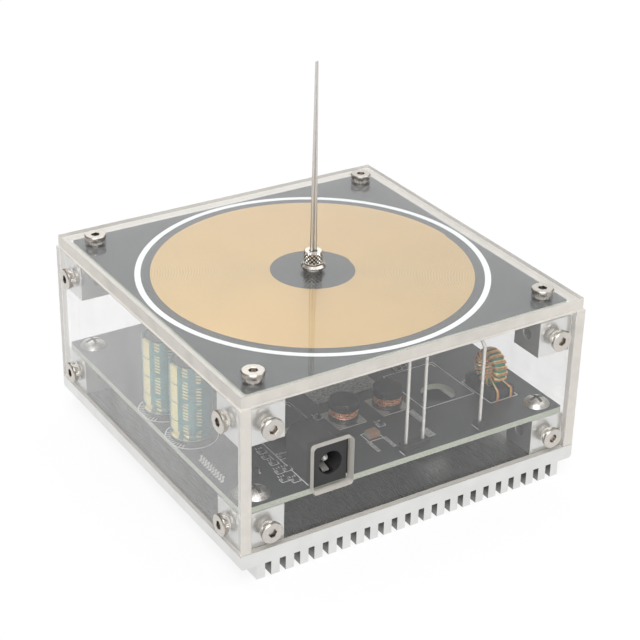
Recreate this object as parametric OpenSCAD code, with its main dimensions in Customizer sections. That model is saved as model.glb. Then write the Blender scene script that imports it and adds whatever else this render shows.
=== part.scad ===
// Desktop resonant transformer: a driver board in a clear case on a finned heat sink,
// under a flat spiral coil with two discharge needles at its centre.
// X runs left to right along the face with the power jack, Y runs back, Z runs up.
// The origin is the centre of the footprint, at the fin tips. Sizes are in millimetres.

/* [Case] */
// Outside width and depth of the square case
case_w = 100; // [98:1:116]
// Thickness of the side panels
panel_t = 3; // [2.5:0.5:3.5]
// Thickness of the lid
lid_t = 3; // [2:0.5:5]
// Step of the lid's edge in from the panels' outer faces
lid_inset = 0.5; // [0.2:0.1:1]
// Gap between the panels' top edges and the lid
lid_gap = 0.2; // [0.1:0.05:0.4]
// Height of the room between the heat sink and the coil board
room_h = 38.5; // [36:0.5:50]
// Side of the cube blocks that the panels are screwed to
block_w = 10; // [9.5:0.5:11]
// Corner radius of the cut-out for the power jack
opening_r = 1; // [0.5:0.25:1.5]
// Margin of that cut-out around the power jack
opening_margin = 1.1; // [0.5:0.1:1.3]

/* [Heat sink] */
// Thickness of the heat sink's base plate
base_t = 4; // [3.5:0.5:6]
// Height of the fins under the base plate
fin_h = 4; // [3:0.5:8]
// Number of fins
fin_count = 23; // [19:2:25]
// Thickness of a fin
fin_t = 2.33; // [1.8:0.01:2.5]
// Distance of the outer fins from the base plate's sides
fin_inset = 4.4; // [4:0.1:6]
// Rounding of the base plate's lower edges
base_edge_r = 1; // [0.5:0.25:1.5]

/* [Fasteners] */
// Diameter of the machine screws
screw_d = 3; // [2.5:0.1:3.2]
// Diameter of the low socket heads
socket_head_d = 5.7; // [5.2:0.1:6.2]
// Height of the low socket heads
socket_head_h = 1.5; // [1.2:0.1:1.8]
// Width across flats of the hex sockets
socket_af = 2; // [1.8:0.1:2.2]
// Depth of the hex sockets
socket_depth = 1; // [0.8:0.05:1.1]
// Chamfer on the rim of the low socket heads
head_chamfer = 0.25; // [0.1:0.05:0.4]
// Diameter of the domed heads on the driver board
dome_head_d = 7.1; // [6.5:0.1:7.6]
// Height of the domed heads
dome_head_h = 1.9; // [1.5:0.1:2.2]
// Width of the cross recess in the domed heads
recess_w = 0.7; // [0.5:0.05:0.9]
// Length of the cross recess
recess_l = 3.4; // [2.8:0.1:3.8]
// Depth of the cross recess
recess_depth = 1.2; // [0.8:0.1:1.3]

/* [Coil] */
// Thickness of the coil board's laminate
coil_board_t = 1.5; // [1.2:0.1:2]
// Thickness of the copper tracks and of the tin on the pads
trace_t = 0.1; // [0.07:0.01:0.15]
// Distance of the spiral track inside the coil board's edge
coil_margin = 4.45; // [4:0.05:8]
// Inner radius of the spiral track
spiral_inner_r = 11; // [8:0.25:14]
// Distance of the primary track, under the board, inside the spiral's outer edge
primary_step = 5.25; // [4.5:0.25:9]
// Width of the primary track
primary_w = 5; // [3:0.5:7]
// Corner radius of both boards
board_corner_r = 0.8; // [0.5:0.1:1.5]
// Gap between the boards' edges and the panels
board_gap = 0.3; // [0.2:0.05:0.5]

/* [Discharge terminal] */
// Height of the needle tips above the lid
needle_rise = 55.4; // [45:0.1:62]
// Radius of a needle at its foot
needle_foot_r = 0.48; // [0.4:0.02:0.55]
// Radius of a needle at its blunt tip
needle_tip_r = 0.2; // [0.12:0.02:0.3]
// Diameter of the knurled collar
collar_d = 5; // [4.8:0.1:5.6]
// Height of the knurled collar
collar_h = 3.4; // [3.2:0.1:4.4]
// Bevel on the collar's rims
collar_bevel = 0.4; // [0.2:0.05:0.5]
// Height of the threaded bush in the collar
bush_h = 2.2; // [1.8:0.1:2.4]
// Wall of the threaded bush
bush_wall = 0.4; // [0.3:0.05:0.5]
// Diameter of the flange that clamps the stud on the lid
flange_d = 6.5; // [6:0.1:8]
// Height of that flange
flange_h = 0.8; // [0.6:0.1:1.2]
// Width across flats of the stud's hex head
stud_head_af = 5.5; // [5:0.1:6]
// Height of the stud's hex head
stud_head_h = 2; // [1.5:0.1:2.5]
// Radial gap between the turning collar and its bush
running_gap = 0.05; // [0.03:0.01:0.08]
// Gap between the collar and the flange
seat_gap = 0.1; // [0.05:0.05:0.2]

/* [Driver board] */
// Thickness of the driver board
driver_board_t = 1.6; // [1.2:0.1:2]
// Diameter of the access holes over the transistor screws
access_d = 9; // [8:0.25:10]
// Length of the solder ends under the driver board
solder_end = 1.2; // [0.8:0.1:1.6]
// Thickness of tin on a part's end faces
end_cap_t = 0.15; // [0.1:0.01:0.2]

/* [Power jack] */
// Width of the jack's housing
jack_w = 9; // [8.8:0.1:10]
// Height of the jack's housing
jack_h = 11; // [10.8:0.1:12]
// Length of the jack's housing
jack_l = 14.2; // [13.5:0.1:15]
// Diameter of the socket in the jack
socket_d = 6.4; // [6.2:0.05:6.6]
// Depth of the socket in the jack
socket_l = 9; // [8.6:0.1:9.5]
// Height of the socket's axis above the board
socket_z = 5.7; // [5.6:0.05:6]
// Diameter of the jack's centre pin
jack_pin_d = 2; // [1.8:0.05:2.1]
// Distance of the centre pin's tip inside the jack's face
jack_pin_inset = 2; // [1.5:0.1:2.5]
// Distance of the jack's face behind the front panel's outer face
jack_face_inset = 1.7; // [1.2:0.1:2]
// Width of the jack's spring
spring_w = 1.8; // [1.5:0.1:2]
// Thickness of the jack's spring
spring_t = 0.3; // [0.2:0.05:0.35]
// Height by which the spring's bow stands in the socket
spring_bow = 0.9; // [0.5:0.05:1]
// Room under the spring for its travel
spring_room = 1.3; // [1.2:0.05:1.5]
// Width of the jack's solder legs
jack_leg_d = 1.5; // [1.2:0.1:1.6]

/* [Capacitors] */
// Diameter of an electrolytic capacitor over its sleeve
cap_d = 10.8; // [10:0.1:11.2]
// Height of an electrolytic capacitor
cap_h = 21.7; // [18:0.1:24]
// Thickness of the capacitor's sleeve
sleeve_t = 0.15; // [0.1:0.01:0.2]
// Height of the rubber seal under the capacitor's can
seal_h = 1.2; // [0.8:0.1:1.5]
// Height of the crimp groove above the board
groove_z = 3; // [2.6:0.1:3.5]
// Radius of the crimp groove
groove_r = 0.9; // [0.6:0.1:1]
// Distance between the capacitor's leads
cap_lead_pitch = 5; // [4.5:0.1:5.5]
// Diameter of component leads
lead_d = 0.7; // [0.5:0.05:0.9]

/* [Drum inductors] */
// Diameter of a drum inductor
drum_d = 7.8; // [7:0.1:8.4]
// Height of a drum inductor
drum_h = 5.5; // [5.3:0.1:6]
// Thickness of the drum's lower flange
drum_foot_t = 0.9; // [0.7:0.1:1]
// Height of the drum's winding window
drum_window_h = 2.3; // [2.3:0.1:2.6]
// Diameter of the drum's waist
drum_waist_d = 6; // [5.5:0.1:6.4]
// Side of the tinned pads under a drum
drum_pad_w = 8.7; // [8.5:0.1:9]
// Width of the tinned strips under a drum
drum_pad_strip = 2.6; // [2.2:0.1:3]
// Wire diameter of the drum winding
drum_wire_d = 0.3; // [0.24:0.02:0.32]
// Rise of the drum winding in one turn
drum_pitch = 0.72; // [0.72:0.01:0.74]

/* [Toroid inductor] */
// Outer diameter of the toroid core
toroid_outer_d = 9.4; // [9:0.1:9.8]
// Inner diameter of the toroid core
toroid_inner_d = 5.4; // [5.4:0.1:5.8]
// Width of the toroid core
toroid_w = 3.4; // [3:0.1:3.8]
// Rounding of the toroid core's edges
toroid_edge_r = 0.7; // [0.5:0.1:0.9]
// Height of the toroid's axis above the board
toroid_z = 6.6; // [6.4:0.1:7]
// Wire diameter of the toroid winding
toroid_wire_d = 0.4; // [0.34:0.02:0.4]
// Number of turns on the toroid
toroid_turns = 17; // [14:1:17]
// Height of the toroid's cradle
cradle_h = 2.8; // [2.2:0.1:2.8]
// Width of the toroid's cradle
cradle_w = 7.5; // [7:0.1:8]
// Length of the toroid's cradle
cradle_l = 11.6; // [11.4:0.1:12]
// Distance of the winding's legs in front of the cradle
leg_reach = 0.6; // [0.5:0.05:0.9]
// Distance between the winding's legs
leg_pitch = 4.3; // [4:0.1:4.6]

/* [Link pins] */
// Diameter of the pins that link the two boards
link_pin_d = 0.9; // [0.7:0.05:1]
// Distance between the two power link pins
link_pitch = 5.08; // [4.8:0.01:5.4]
// Height of a link pin's base
link_base_h = 1.5; // [1.2:0.1:2.5]
// Depth of a link pin's base
link_base_w = 2.5; // [2.2:0.1:3]
// Sideways step of the feedback pin's bent top
link_bend = 2; // [1.5:0.1:2.5]
// Height of the feedback pin's bent top
link_bend_h = 4; // [3:0.1:5]
// Radius of a solder bead
bead_r = 1; // [0.8:0.05:1.2]

/* [Power transistors] */
// Width of a power transistor
fet_w = 15.9; // [15.5:0.1:16.2]
// Length of a power transistor's body
fet_l = 20.8; // [20:0.1:21]
// Thickness of a power transistor's body
fet_t = 5; // [4.5:0.1:5.2]
// Thickness of the transistor's metal back
fet_tab_t = 2; // [1.5:0.1:2.2]
// Rim of moulding around the metal back
fet_rim = 0.9; // [0.6:0.1:1.2]
// Distance of the transistor's screw hole from its front end
fet_hole_inset = 5.4; // [5:0.1:6]
// Diameter of the transistor's screw hole
fet_hole_d = 3.6; // [3.5:0.05:3.8]
// Distance between the transistor's leads
fet_lead_pitch = 5.45; // [5:0.05:5.5]
// Width of a transistor lead
fet_lead_w = 1.2; // [1:0.1:1.4]
// Thickness of a transistor lead
fet_lead_t = 0.6; // [0.5:0.05:0.7]
// Height of a transistor lead above the metal back's face
fet_lead_rise = 2.4; // [2.3:0.1:3]
// Reach of a transistor lead behind the body
fet_lead_reach = 4; // [3:0.1:5]
// Thickness of the insulating pad under a transistor
insulator_t = 0.3; // [0.2:0.05:0.5]
// Overlap of the insulating pad around the transistor
insulator_lap = 0.6; // [0.4:0.1:1]

/* [Driver chip] */
// Width of the driver chip's body
chip_w = 6.4; // [6:0.1:6.8]
// Length of the driver chip's body
chip_l = 12.6; // [12.2:0.1:13]
// Thickness of the driver chip's body
chip_t = 2.2; // [1.8:0.1:2.5]
// Height of the chip's body above the board
chip_rise = 0.15; // [0.1:0.05:0.2]
// Number of pins along one side of the driver chip
chip_pins = 10; // [8:1:10]
// Distance between the chip's pins
chip_pitch = 1.2; // [1.15:0.05:1.25]
// Width of a chip pin
chip_pin_w = 0.5; // [0.35:0.05:0.6]
// Thickness of a chip pin
chip_pin_t = 0.25; // [0.2:0.01:0.3]
// Reach of a chip pin beside the body
chip_pin_reach = 1; // [0.8:0.1:1.2]

/* [Surface-mounted parts] */
// Length of the ceramic capacitor
ceramic_l = 3.2; // [3:0.1:3.6]
// Width of the ceramic capacitor
ceramic_w = 2.5; // [2.2:0.1:2.8]
// Height of the ceramic capacitor
ceramic_h = 1.5; // [1.2:0.1:1.8]
// Length of a chip resistor
resistor_l = 1.6; // [1.5:0.1:2]
// Width of a chip resistor
resistor_w = 0.8; // [0.7:0.1:1]
// Height of a chip resistor
resistor_h = 0.5; // [0.4:0.05:0.6]

/* [Hidden] */
$fn = 48;

// One overrun for every cut
cut = 1;
// Radial play of a screw or lead in its own hole
play = 0.05;
// Radial clearance of a screw in a panel or board
screw_clear = 0.2;
// Distance between the tips of screws that meet in a block and the shanks they meet
tip_gap = 0.3;

// Levels above the fin tips
base_z = fin_h + base_t;
board_z = base_z + block_w;
board_top = board_z + driver_board_t;
coil_z = base_z + room_h;
coil_top = coil_z + coil_board_t;
lid_z = coil_top + trace_t;
lid_top = lid_z + lid_t;
wall_top = lid_z - lid_gap;
wall_h = wall_top - base_z;

// Plan distances from the middle of the case
half_w = case_w / 2;
inner_half = half_w - panel_t;
block_at = inner_half - block_w / 2;
board_w = 2 * (inner_half - board_gap);
lid_w = case_w - 2 * lid_inset;
spiral_outer_r = board_w / 2 - coil_margin;
primary_outer_r = spiral_outer_r - primary_step;
corners = [[-block_at, -block_at], [block_at, -block_at], [block_at, block_at], [-block_at, block_at]];
lower_block_z = base_z + block_w / 2;
upper_block_z = coil_z - block_w / 2;

// Fasteners
thread_d = screw_d + 2 * play;
clear_d = screw_d + 2 * screw_clear;
screw_bite = block_w / 2 - screw_d / 2 - tip_gap;
pocket_d = socket_head_d + 4 * screw_clear;

// Fins
fin_pitch = (case_w - 2 * fin_inset - fin_t) / (fin_count - 1);

// Clearances between the parts that stand in a row along the driver board's left and front edges
chip_edge_gap = 1.7;
chip_screw_gap = 2.5;
cap_edge_gap = 0.5;
cap_chip_gap = 5.4;
cap_gap = 4;
jack_chip_gap = 7.7;
drum_gap = 4.7;
toroid_block_gap = 0.7;
link_edge_gap = 2.1;

// Places on the driver board, as shares of its side, from the middle of the board
first_drum_shares = [-0.058, -0.248];
toroid_x_share = 0.385;
power_link_x_share = 0;
feedback_link_shares = [0.239, -0.469];
fet_x_shares = [-0.23, 0.246];
fet_front_share = -0.323;
ceramic_shares = [-0.043, -0.368];
// Tinned areas as their middle and their size, again as shares of the board's side
tin_shares = [[[0.02, -0.015], [0.21, 0.28]], [[0.12, -0.341], [0.02, 0.065]],
    [[0.098, -0.428], [0.024, 0.042]], [[-0.018, -0.415], [0.012, 0.055]],
    [[-0.068, -0.415], [0.012, 0.055]]];
// Places of the chip resistors in shares of their length: from the jack's back left corner, from the
// right transistor's back, from the first drum's back left corner and from the ceramic capacitor
jack_resistor_shares = [[-1.7, 4.45], [-1.85, 2.85], [-1.7, 0.8], [0.35, 1.6], [-2.15, -1.7],
    [-0.75, -1.7], [-2.7, -4], [-1.25, -4.9]];
fet_resistor_shares = [[-1.35, 0], [-0.05, 0.65]];
drum_resistor_share = [-0.8, -0.8];
ceramic_resistor_share = [3.1, 2.2];

// Driver chip, in front of the capacitors and behind the front left screw
chip_x = -board_w / 2 + chip_edge_gap + chip_pin_reach + chip_w / 2;
chip_y = -block_at + dome_head_d / 2 + chip_screw_gap + chip_l / 2;

// Capacitors, in a row behind the driver chip
cap_x = -board_w / 2 + cap_edge_gap + cap_d / 2;
cap_front_y = chip_y + chip_l / 2 + cap_chip_gap + cap_d / 2;
cap_places = [for (k = [0, 1]) [cap_x, cap_front_y + k * (cap_d + cap_gap)]];

// Drum inductors
drum_x = first_drum_shares[0] * board_w;
drum_y = first_drum_shares[1] * board_w;
drum_places = [for (k = [0, 1]) [drum_x + k * (drum_pad_w + drum_gap), drum_y]];

// Power jack
jack_x = chip_x + chip_w / 2 + chip_pin_reach + jack_chip_gap + jack_w / 2;
jack_face_y = jack_face_inset - half_w;
jack_back_y = jack_face_y + jack_l;
socket_axis_z = board_top + socket_z;
socket_end_y = jack_face_y + socket_l;
jack_pin_tip_y = jack_face_y + jack_pin_inset;
spring_level = socket_axis_z - socket_d / 2 - spring_t;
spring_pivot_y = socket_end_y - 2 * spring_t;
spring_slot_w = spring_w + 4 * spring_t;
spring_slot_z = socket_axis_z - socket_d / 2 - spring_room;
spring_bow_y = jack_face_y + socket_l / 2;
spring_tip_y = jack_face_y + 2 * opening_r;
jack_leg_len = driver_board_t + solder_end;
jack_leg_inset = jack_leg_d / 2 + spring_t;
jack_leg_places = [[jack_x, jack_back_y - jack_leg_inset - spring_t],
    [jack_x - jack_w / 2 + jack_leg_inset, jack_back_y - jack_l / 3],
    [jack_x + jack_w / 2 - jack_leg_inset, jack_back_y - jack_l / 3]];

// Discharge terminal
stud_r = screw_d / 2;
flange_top = lid_top + flange_h;
collar_z = flange_top + seat_gap;
collar_top = collar_z + collar_h;
bush_inner_r = stud_r + play;
bush_outer_r = bush_inner_r + bush_wall;
collar_bore_r = bush_outer_r + running_gap;
collar_bore_h = bush_h + seat_gap;
needle_offset = needle_foot_r + play;
needle_bore_r = needle_offset + needle_foot_r + play;
needle_foot_z = collar_z + collar_bore_h + seat_gap;
needle_tip_z = lid_top + needle_rise;
needle_tip_offset = needle_tip_r + play;

// Components
fet_lead_z = base_z + insulator_t + fet_lead_rise;
fet_front_y = fet_front_share * board_w;
fet_hole_y = fet_front_y + fet_hole_inset;
fet_back_y = fet_front_y + fet_l;
fet_z = base_z + insulator_t;
fet_top = fet_z + fet_t;
leg_y = -(inner_half - block_w - toroid_block_gap);
cradle_front_y = leg_y + leg_reach;
toroid_x = toroid_x_share * board_w;
toroid_y = cradle_front_y + cradle_l / 2;
toroid_axis_z = board_top + toroid_z;
wire_play = 0.05;
toroid_wire_r = toroid_wire_d / 2;
toroid_mid_r = (toroid_outer_d + toroid_inner_d) / 4;
loop_a = (toroid_outer_d - toroid_inner_d) / 4 + toroid_wire_r + wire_play;
loop_b = toroid_w / 2 + toroid_wire_r + wire_play;
trough_r = toroid_mid_r + loop_a + toroid_wire_r + 2 * wire_play;
link_x = power_link_x_share * board_w;
link_y = link_edge_gap + link_base_w / 2 - board_w / 2;
feedback_x = feedback_link_shares[0] * board_w;
feedback_y = feedback_link_shares[1] * board_w;
link_pin_r = link_pin_d / 2;
power_links = [[link_x, link_y], [link_x + link_pitch, link_y]];
feedback_top_x = feedback_x - link_bend;
cap_leads = [for (p = cap_places, d = [-1, 1]) [p[0], p[1] + d * cap_lead_pitch / 2]];
toroid_legs = [[toroid_x - leg_pitch / 2, leg_y], [toroid_x + leg_pitch / 2, leg_y]];
fet_leads = [for (s = fet_x_shares, k = [-1, 0, 1])
    [s * board_w + k * fet_lead_pitch, fet_back_y + fet_lead_reach]];
ceramic_x = ceramic_shares[0] * board_w;
ceramic_y = ceramic_shares[1] * board_w;
resistor_places = concat(
    [for (s = jack_resistor_shares) [jack_x - jack_w / 2, jack_back_y] + resistor_l * s],
    [for (s = fet_resistor_shares) [fet_x_shares[1] * board_w, fet_back_y] + resistor_l * s],
    [[drum_x - drum_pad_w / 2, drum_y + drum_pad_w / 2] + resistor_l * drum_resistor_share],
    [[ceramic_x, ceramic_y] + resistor_l * ceramic_resistor_share]);

// Wound wires: rings along one loop, and sides of the wire
loop_rings = 24;
wire_sides = 6;
// Squareness of a loop on the toroid, 2 being an ellipse
loop_power = 3.5;
// Angle around the toroid at which its winding starts, and the share of the circle it covers
wind_start = 214;
wind_share = 0.944;
drum_turns = (drum_window_h - 2 * drum_wire_d) / drum_pitch;

// A square plate outline with round corners, made of true arcs
module round_plate(w, d, r) {
    square([w - 2 * r, d], center = true);
    square([w, d - 2 * r], center = true);
    for (x = [-1, 1], y = [-1, 1])
        translate([x * (w / 2 - r), y * (d / 2 - r)]) circle(r = r);
}

// Round holes through a level plate that starts at z and is t thick
module holes(places, d, z, t) {
    for (p = places) translate([p[0], p[1], z - cut]) cylinder(d = d, h = t + 2 * cut);
}

// Copies at the four corner blocks
module at_corners() {
    for (c = corners) translate([c[0], c[1], 0]) children();
}

// A socket-head screw whose head sits above z = 0 and whose shank runs down
module socket_screw(length) {
    difference() {
        union() {
            cylinder(d = socket_head_d, h = socket_head_h - head_chamfer);
            translate([0, 0, socket_head_h - head_chamfer])
                cylinder(d1 = socket_head_d, d2 = socket_head_d - 2 * head_chamfer, h = head_chamfer);
            translate([0, 0, -length]) cylinder(d = screw_d, h = length + head_chamfer);
        }
        translate([0, 0, socket_head_h - socket_depth])
            cylinder(r = socket_af / sqrt(3), h = socket_depth + cut, $fn = 6);
    }
}

// A domed cross-recess screw whose head sits above z = 0 and whose shank runs down
module dome_screw(length, d = dome_head_d, h = dome_head_h) {
    ball_r = (d * d / 4 + h * h) / (2 * h);
    difference() {
        union() {
            intersection() {
                translate([0, 0, h - ball_r]) sphere(r = ball_r);
                cylinder(d = d, h = h);
            }
            translate([0, 0, -length]) cylinder(d = screw_d, h = length + play);
        }
        for (turn = [0, 90]) rotate([0, 0, turn])
            translate([-recess_l / 2, -recess_w / 2, h - recess_depth])
                cube([recess_l, recess_w, recess_depth + cut]);
    }
}

// Places of the two heights of panel screws on one wall
module panel_screw_places() {
    for (x = [-block_at, block_at], z = [lower_block_z, upper_block_z]) translate([x, 0, z]) children();
}

// Copies turned to the front, right, back and left walls
module at_walls() {
    for (turn = [0, 90, 180, 270]) rotate([0, 0, turn]) children();
}

module heat_sink() {
    color("silver") difference() {
        rotate([90, 0, 0]) linear_extrude(height = case_w, center = true) {
            translate([0, base_z - base_t / 2]) square([case_w - 2 * base_edge_r, base_t], center = true);
            translate([-half_w, fin_h + base_edge_r]) square([case_w, base_t - base_edge_r]);
            for (x = [-1, 1]) translate([x * (half_w - base_edge_r), fin_h + base_edge_r])
                circle(r = base_edge_r);
            for (k = [0 : fin_count - 1])
                translate([fin_inset - half_w + k * fin_pitch, 0]) square([fin_t, fin_h + base_edge_r]);
        }
        holes(corners, clear_d, fin_h, base_t);
        at_corners() translate([0, 0, -cut]) cylinder(d = pocket_d, h = fin_h + cut);
        holes([for (s = fet_x_shares) [s * board_w, fet_hole_y]], thread_d, fin_h, base_t);
        for (s = fet_x_shares) translate([s * board_w, fet_hole_y, -cut])
            cylinder(d = thread_d, h = fin_h + 2 * cut);
    }
}

module base_screws() {
    color("gainsboro") at_corners() translate([0, 0, fin_h]) rotate([180, 0, 0])
        socket_screw(base_t + screw_bite);
}

// A cube block bored and tapped along its three axes
module corner_block() {
    difference() {
        cube(block_w, center = true);
        for (turn = [[0, 0, 0], [90, 0, 0], [0, 90, 0]]) rotate(turn)
            cylinder(d = thread_d, h = block_w + 2 * cut, center = true);
    }
}

module lower_corner_blocks() {
    color("lightgray") at_corners() translate([0, 0, lower_block_z]) corner_block();
}

module upper_corner_blocks() {
    color("lightgray") at_corners() translate([0, 0, upper_block_z]) corner_block();
}

// A wall at the front, of width w, with its screw holes
module wall(w) {
    difference() {
        translate([-w / 2, -half_w, base_z]) cube([w, panel_t, wall_h]);
        panel_screw_places() rotate([90, 0, 0])
            cylinder(d = clear_d, h = half_w + cut);
    }
}

module front_panel() {
    color([0.85, 0.9, 0.92, 0.4]) difference() {
        wall(2 * inner_half);
        translate([jack_x, -half_w + panel_t + cut, board_top + jack_h / 2]) rotate([90, 0, 0])
            linear_extrude(height = panel_t + 2 * cut)
                round_plate(jack_w + 2 * opening_margin, jack_h + 2 * opening_margin, opening_r);
    }
}

module back_panel() {
    color([0.85, 0.9, 0.92, 0.4]) rotate([0, 0, 180]) wall(2 * inner_half);
}

module left_panel() {
    color([0.85, 0.9, 0.92, 0.4]) rotate([0, 0, -90]) wall(case_w);
}

module right_panel() {
    color([0.85, 0.9, 0.92, 0.4]) rotate([0, 0, 90]) wall(case_w);
}

module panel_screws() {
    color("gainsboro") at_walls() panel_screw_places() translate([0, -half_w, 0]) rotate([90, 0, 0])
        socket_screw(panel_t + screw_bite);
}

module lid_panel() {
    color([0.85, 0.9, 0.92, 0.4]) difference() {
        translate([-lid_w / 2, -lid_w / 2, lid_z]) cube([lid_w, lid_w, lid_t]);
        holes(corners, clear_d, lid_z, lid_t);
        holes([[0, 0]], clear_d, lid_z, lid_t);
    }
}

module lid_screws() {
    color("gainsboro") at_corners() translate([0, 0, lid_top])
        socket_screw(lid_top - coil_z + screw_bite);
}

module coil_board() {
    color("darkslategray") difference() {
        translate([0, 0, coil_z]) linear_extrude(height = coil_board_t)
            round_plate(board_w, board_w, board_corner_r);
        holes(corners, clear_d, coil_z, coil_board_t);
        holes([[0, 0]], clear_d, coil_z, coil_board_t);
    }
}

// A level copper ring that starts at z
module ring_track(outer_r, inner_r, z) {
    translate([0, 0, z]) difference() {
        cylinder(r = outer_r, h = trace_t, $fn = 120);
        translate([0, 0, -cut]) cylinder(r = inner_r, h = trace_t + 2 * cut, $fn = 96);
    }
}

module coil_track() {
    color("goldenrod") ring_track(spiral_outer_r, spiral_inner_r, coil_top);
}

module primary_track() {
    color("goldenrod") ring_track(primary_outer_r, primary_outer_r - primary_w, coil_z - trace_t);
}

module driver_board() {
    color("darkslategray") difference() {
        translate([0, 0, board_z]) linear_extrude(height = driver_board_t)
            round_plate(board_w, board_w, board_corner_r);
        holes(corners, clear_d, board_z, driver_board_t);
        holes([for (s = fet_x_shares) [s * board_w, fet_hole_y]], access_d, board_z, driver_board_t);
        holes(jack_leg_places, jack_leg_d + 2 * play, board_z, driver_board_t);
        holes(concat(cap_leads, fet_leads), lead_d + 2 * play, board_z, driver_board_t);
        holes(toroid_legs, toroid_wire_d + 4 * play, board_z, driver_board_t);
        holes(concat(power_links, [[feedback_x, feedback_y]]), link_pin_d + 2 * play, board_z,
            driver_board_t);
    }
}

module driver_board_screws() {
    color("gainsboro") at_corners() translate([0, 0, board_top])
        dome_screw(driver_board_t + screw_bite);
}

module solder_pads() {
    color("silver") for (p = tin_shares)
        translate([p[0][0] * board_w - p[1][0] * board_w / 2, p[0][1] * board_w - p[1][1] * board_w / 2,
            board_top])
            cube([p[1][0] * board_w, p[1][1] * board_w, trace_t]);
}

module terminal_stud() {
    color("silver") {
        translate([0, 0, coil_z - stud_head_h])
            cylinder(r = stud_head_af / sqrt(3), h = stud_head_h, $fn = 6);
        translate([0, 0, coil_z - play]) cylinder(r = stud_r, h = collar_z + bush_h - coil_z + play);
    }
}

module terminal_flange() {
    color("silver") difference() {
        translate([0, 0, lid_top]) cylinder(d = flange_d, h = flange_h);
        holes([[0, 0]], 2 * bush_inner_r, lid_top, flange_h);
    }
}

module thread_bush() {
    color("darkgoldenrod") difference() {
        translate([0, 0, collar_z]) cylinder(r = bush_outer_r, h = bush_h);
        holes([[0, 0]], 2 * bush_inner_r, collar_z, bush_h);
    }
}

module knurled_collar() {
    body_r = collar_d / 2;
    color("silver") difference() {
        translate([0, 0, collar_z]) rotate_extrude() polygon([[0, 0], [body_r - collar_bevel, 0],
            [body_r, collar_bevel], [body_r, collar_h - collar_bevel],
            [body_r - collar_bevel, collar_h], [0, collar_h]]);
        translate([0, 0, collar_z - cut]) cylinder(r = collar_bore_r, h = collar_bore_h + cut);
        translate([0, 0, collar_z]) cylinder(r = needle_bore_r, h = collar_h + cut);
    }
}

module discharge_needles() {
    rise = needle_tip_z - needle_foot_z;
    lean = atan((needle_offset - needle_tip_offset) / rise);
    color("silver") for (side = [-1, 1])
        translate([side * needle_offset, 0, needle_foot_z]) rotate([0, -side * lean, 0])
            cylinder(r1 = needle_foot_r, r2 = needle_tip_r, h = rise);
}

module jack_housing() {
    color("black") difference() {
        translate([jack_x - jack_w / 2, jack_face_y, board_top]) cube([jack_w, jack_l, jack_h]);
        translate([jack_x, jack_face_y - cut, socket_axis_z]) rotate([-90, 0, 0])
            cylinder(d = socket_d, h = socket_l + cut);
        translate([jack_x, 0, socket_axis_z]) rotate([-90, 0, 0]) translate([0, 0, jack_face_y])
            cylinder(d = jack_pin_d + 2 * play, h = jack_l + cut);
        translate([jack_x - spring_slot_w / 2, jack_face_y + opening_r, spring_slot_z])
            cube([spring_slot_w, socket_l - opening_r, socket_axis_z - spring_slot_z]);
    }
}

module jack_center_pin() {
    tip_r = jack_pin_d / 2;
    color("gainsboro") translate([jack_x, jack_pin_tip_y + tip_r, socket_axis_z]) {
        sphere(r = tip_r);
        rotate([-90, 0, 0]) cylinder(r = tip_r, h = jack_back_y - jack_pin_tip_y - tip_r);
    }
}

// The jack's spring from the side, as points along Y and Z
module jack_spring() {
    bow_z = spring_level + spring_t + spring_bow;
    color("gold") {
        translate([jack_x - spring_w / 2, 0, 0]) rotate([90, 0, 90]) linear_extrude(height = spring_w)
            polygon([[spring_pivot_y, spring_level], [spring_pivot_y, spring_level + spring_t],
                [spring_bow_y, bow_z], [spring_tip_y, spring_level + spring_t],
                [spring_tip_y, spring_level], [spring_bow_y, bow_z - spring_t]]);
        translate([jack_x - spring_w / 2, spring_pivot_y, spring_level + spring_t / 2])
            rotate([0, 90, 0]) cylinder(r = spring_t, h = spring_w);
    }
}

module jack_legs() {
    color("silver") for (p = jack_leg_places) translate([p[0], p[1], board_top - jack_leg_len])
        cylinder(d = jack_leg_d, h = jack_leg_len);
}

// Half the outline of a capacitor of radius r whose groove is g deep, from z0 up to z1
module cap_outline(r, g, z0, z1) {
    difference() {
        translate([0, z0]) square([r, z1 - z0]);
        translate([cap_d / 2 + groove_r / 2, groove_z]) circle(r = g);
    }
}

module capacitor_cans() {
    can_r = cap_d / 2 - sleeve_t - play;
    color("lightgray") for (p = cap_places) translate([p[0], p[1], board_top])
        rotate_extrude() cap_outline(can_r, groove_r + sleeve_t + play, seal_h, cap_h - play);
}

module capacitor_sleeves() {
    lip_r = cap_d / 2 - seal_h;
    color("teal") for (p = cap_places) translate([p[0], p[1], board_top])
        difference() {
            rotate_extrude() cap_outline(cap_d / 2, groove_r, seal_h, cap_h + sleeve_t);
            rotate_extrude() cap_outline(cap_d / 2 - sleeve_t, groove_r + sleeve_t, seal_h - cut, cap_h);
            translate([0, 0, cap_h - cut]) cylinder(r = lip_r, h = 2 * cut);
        }
}

module capacitor_seals() {
    color("dimgray") for (p = cap_places) translate([p[0], p[1], board_top])
        difference() {
            cylinder(r = cap_d / 2 - sleeve_t - groove_r / 2, h = seal_h);
            for (d = [-1, 1]) translate([0, d * cap_lead_pitch / 2, -cut])
                cylinder(d = lead_d + 2 * play, h = seal_h + 2 * cut);
        }
}

module capacitor_leads() {
    color("silver") for (p = cap_leads) translate([p[0], p[1], board_z - solder_end])
        cylinder(d = lead_d, h = solder_end + driver_board_t + seal_h);
}

module drum_pads() {
    color("silver") for (p = drum_places, side = [-1, 1])
        translate([p[0] + side * (drum_pad_w - drum_pad_strip) / 2 - drum_pad_strip / 2,
            p[1] - drum_pad_w / 2, board_top])
            cube([drum_pad_strip, drum_pad_w, trace_t]);
}

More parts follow.
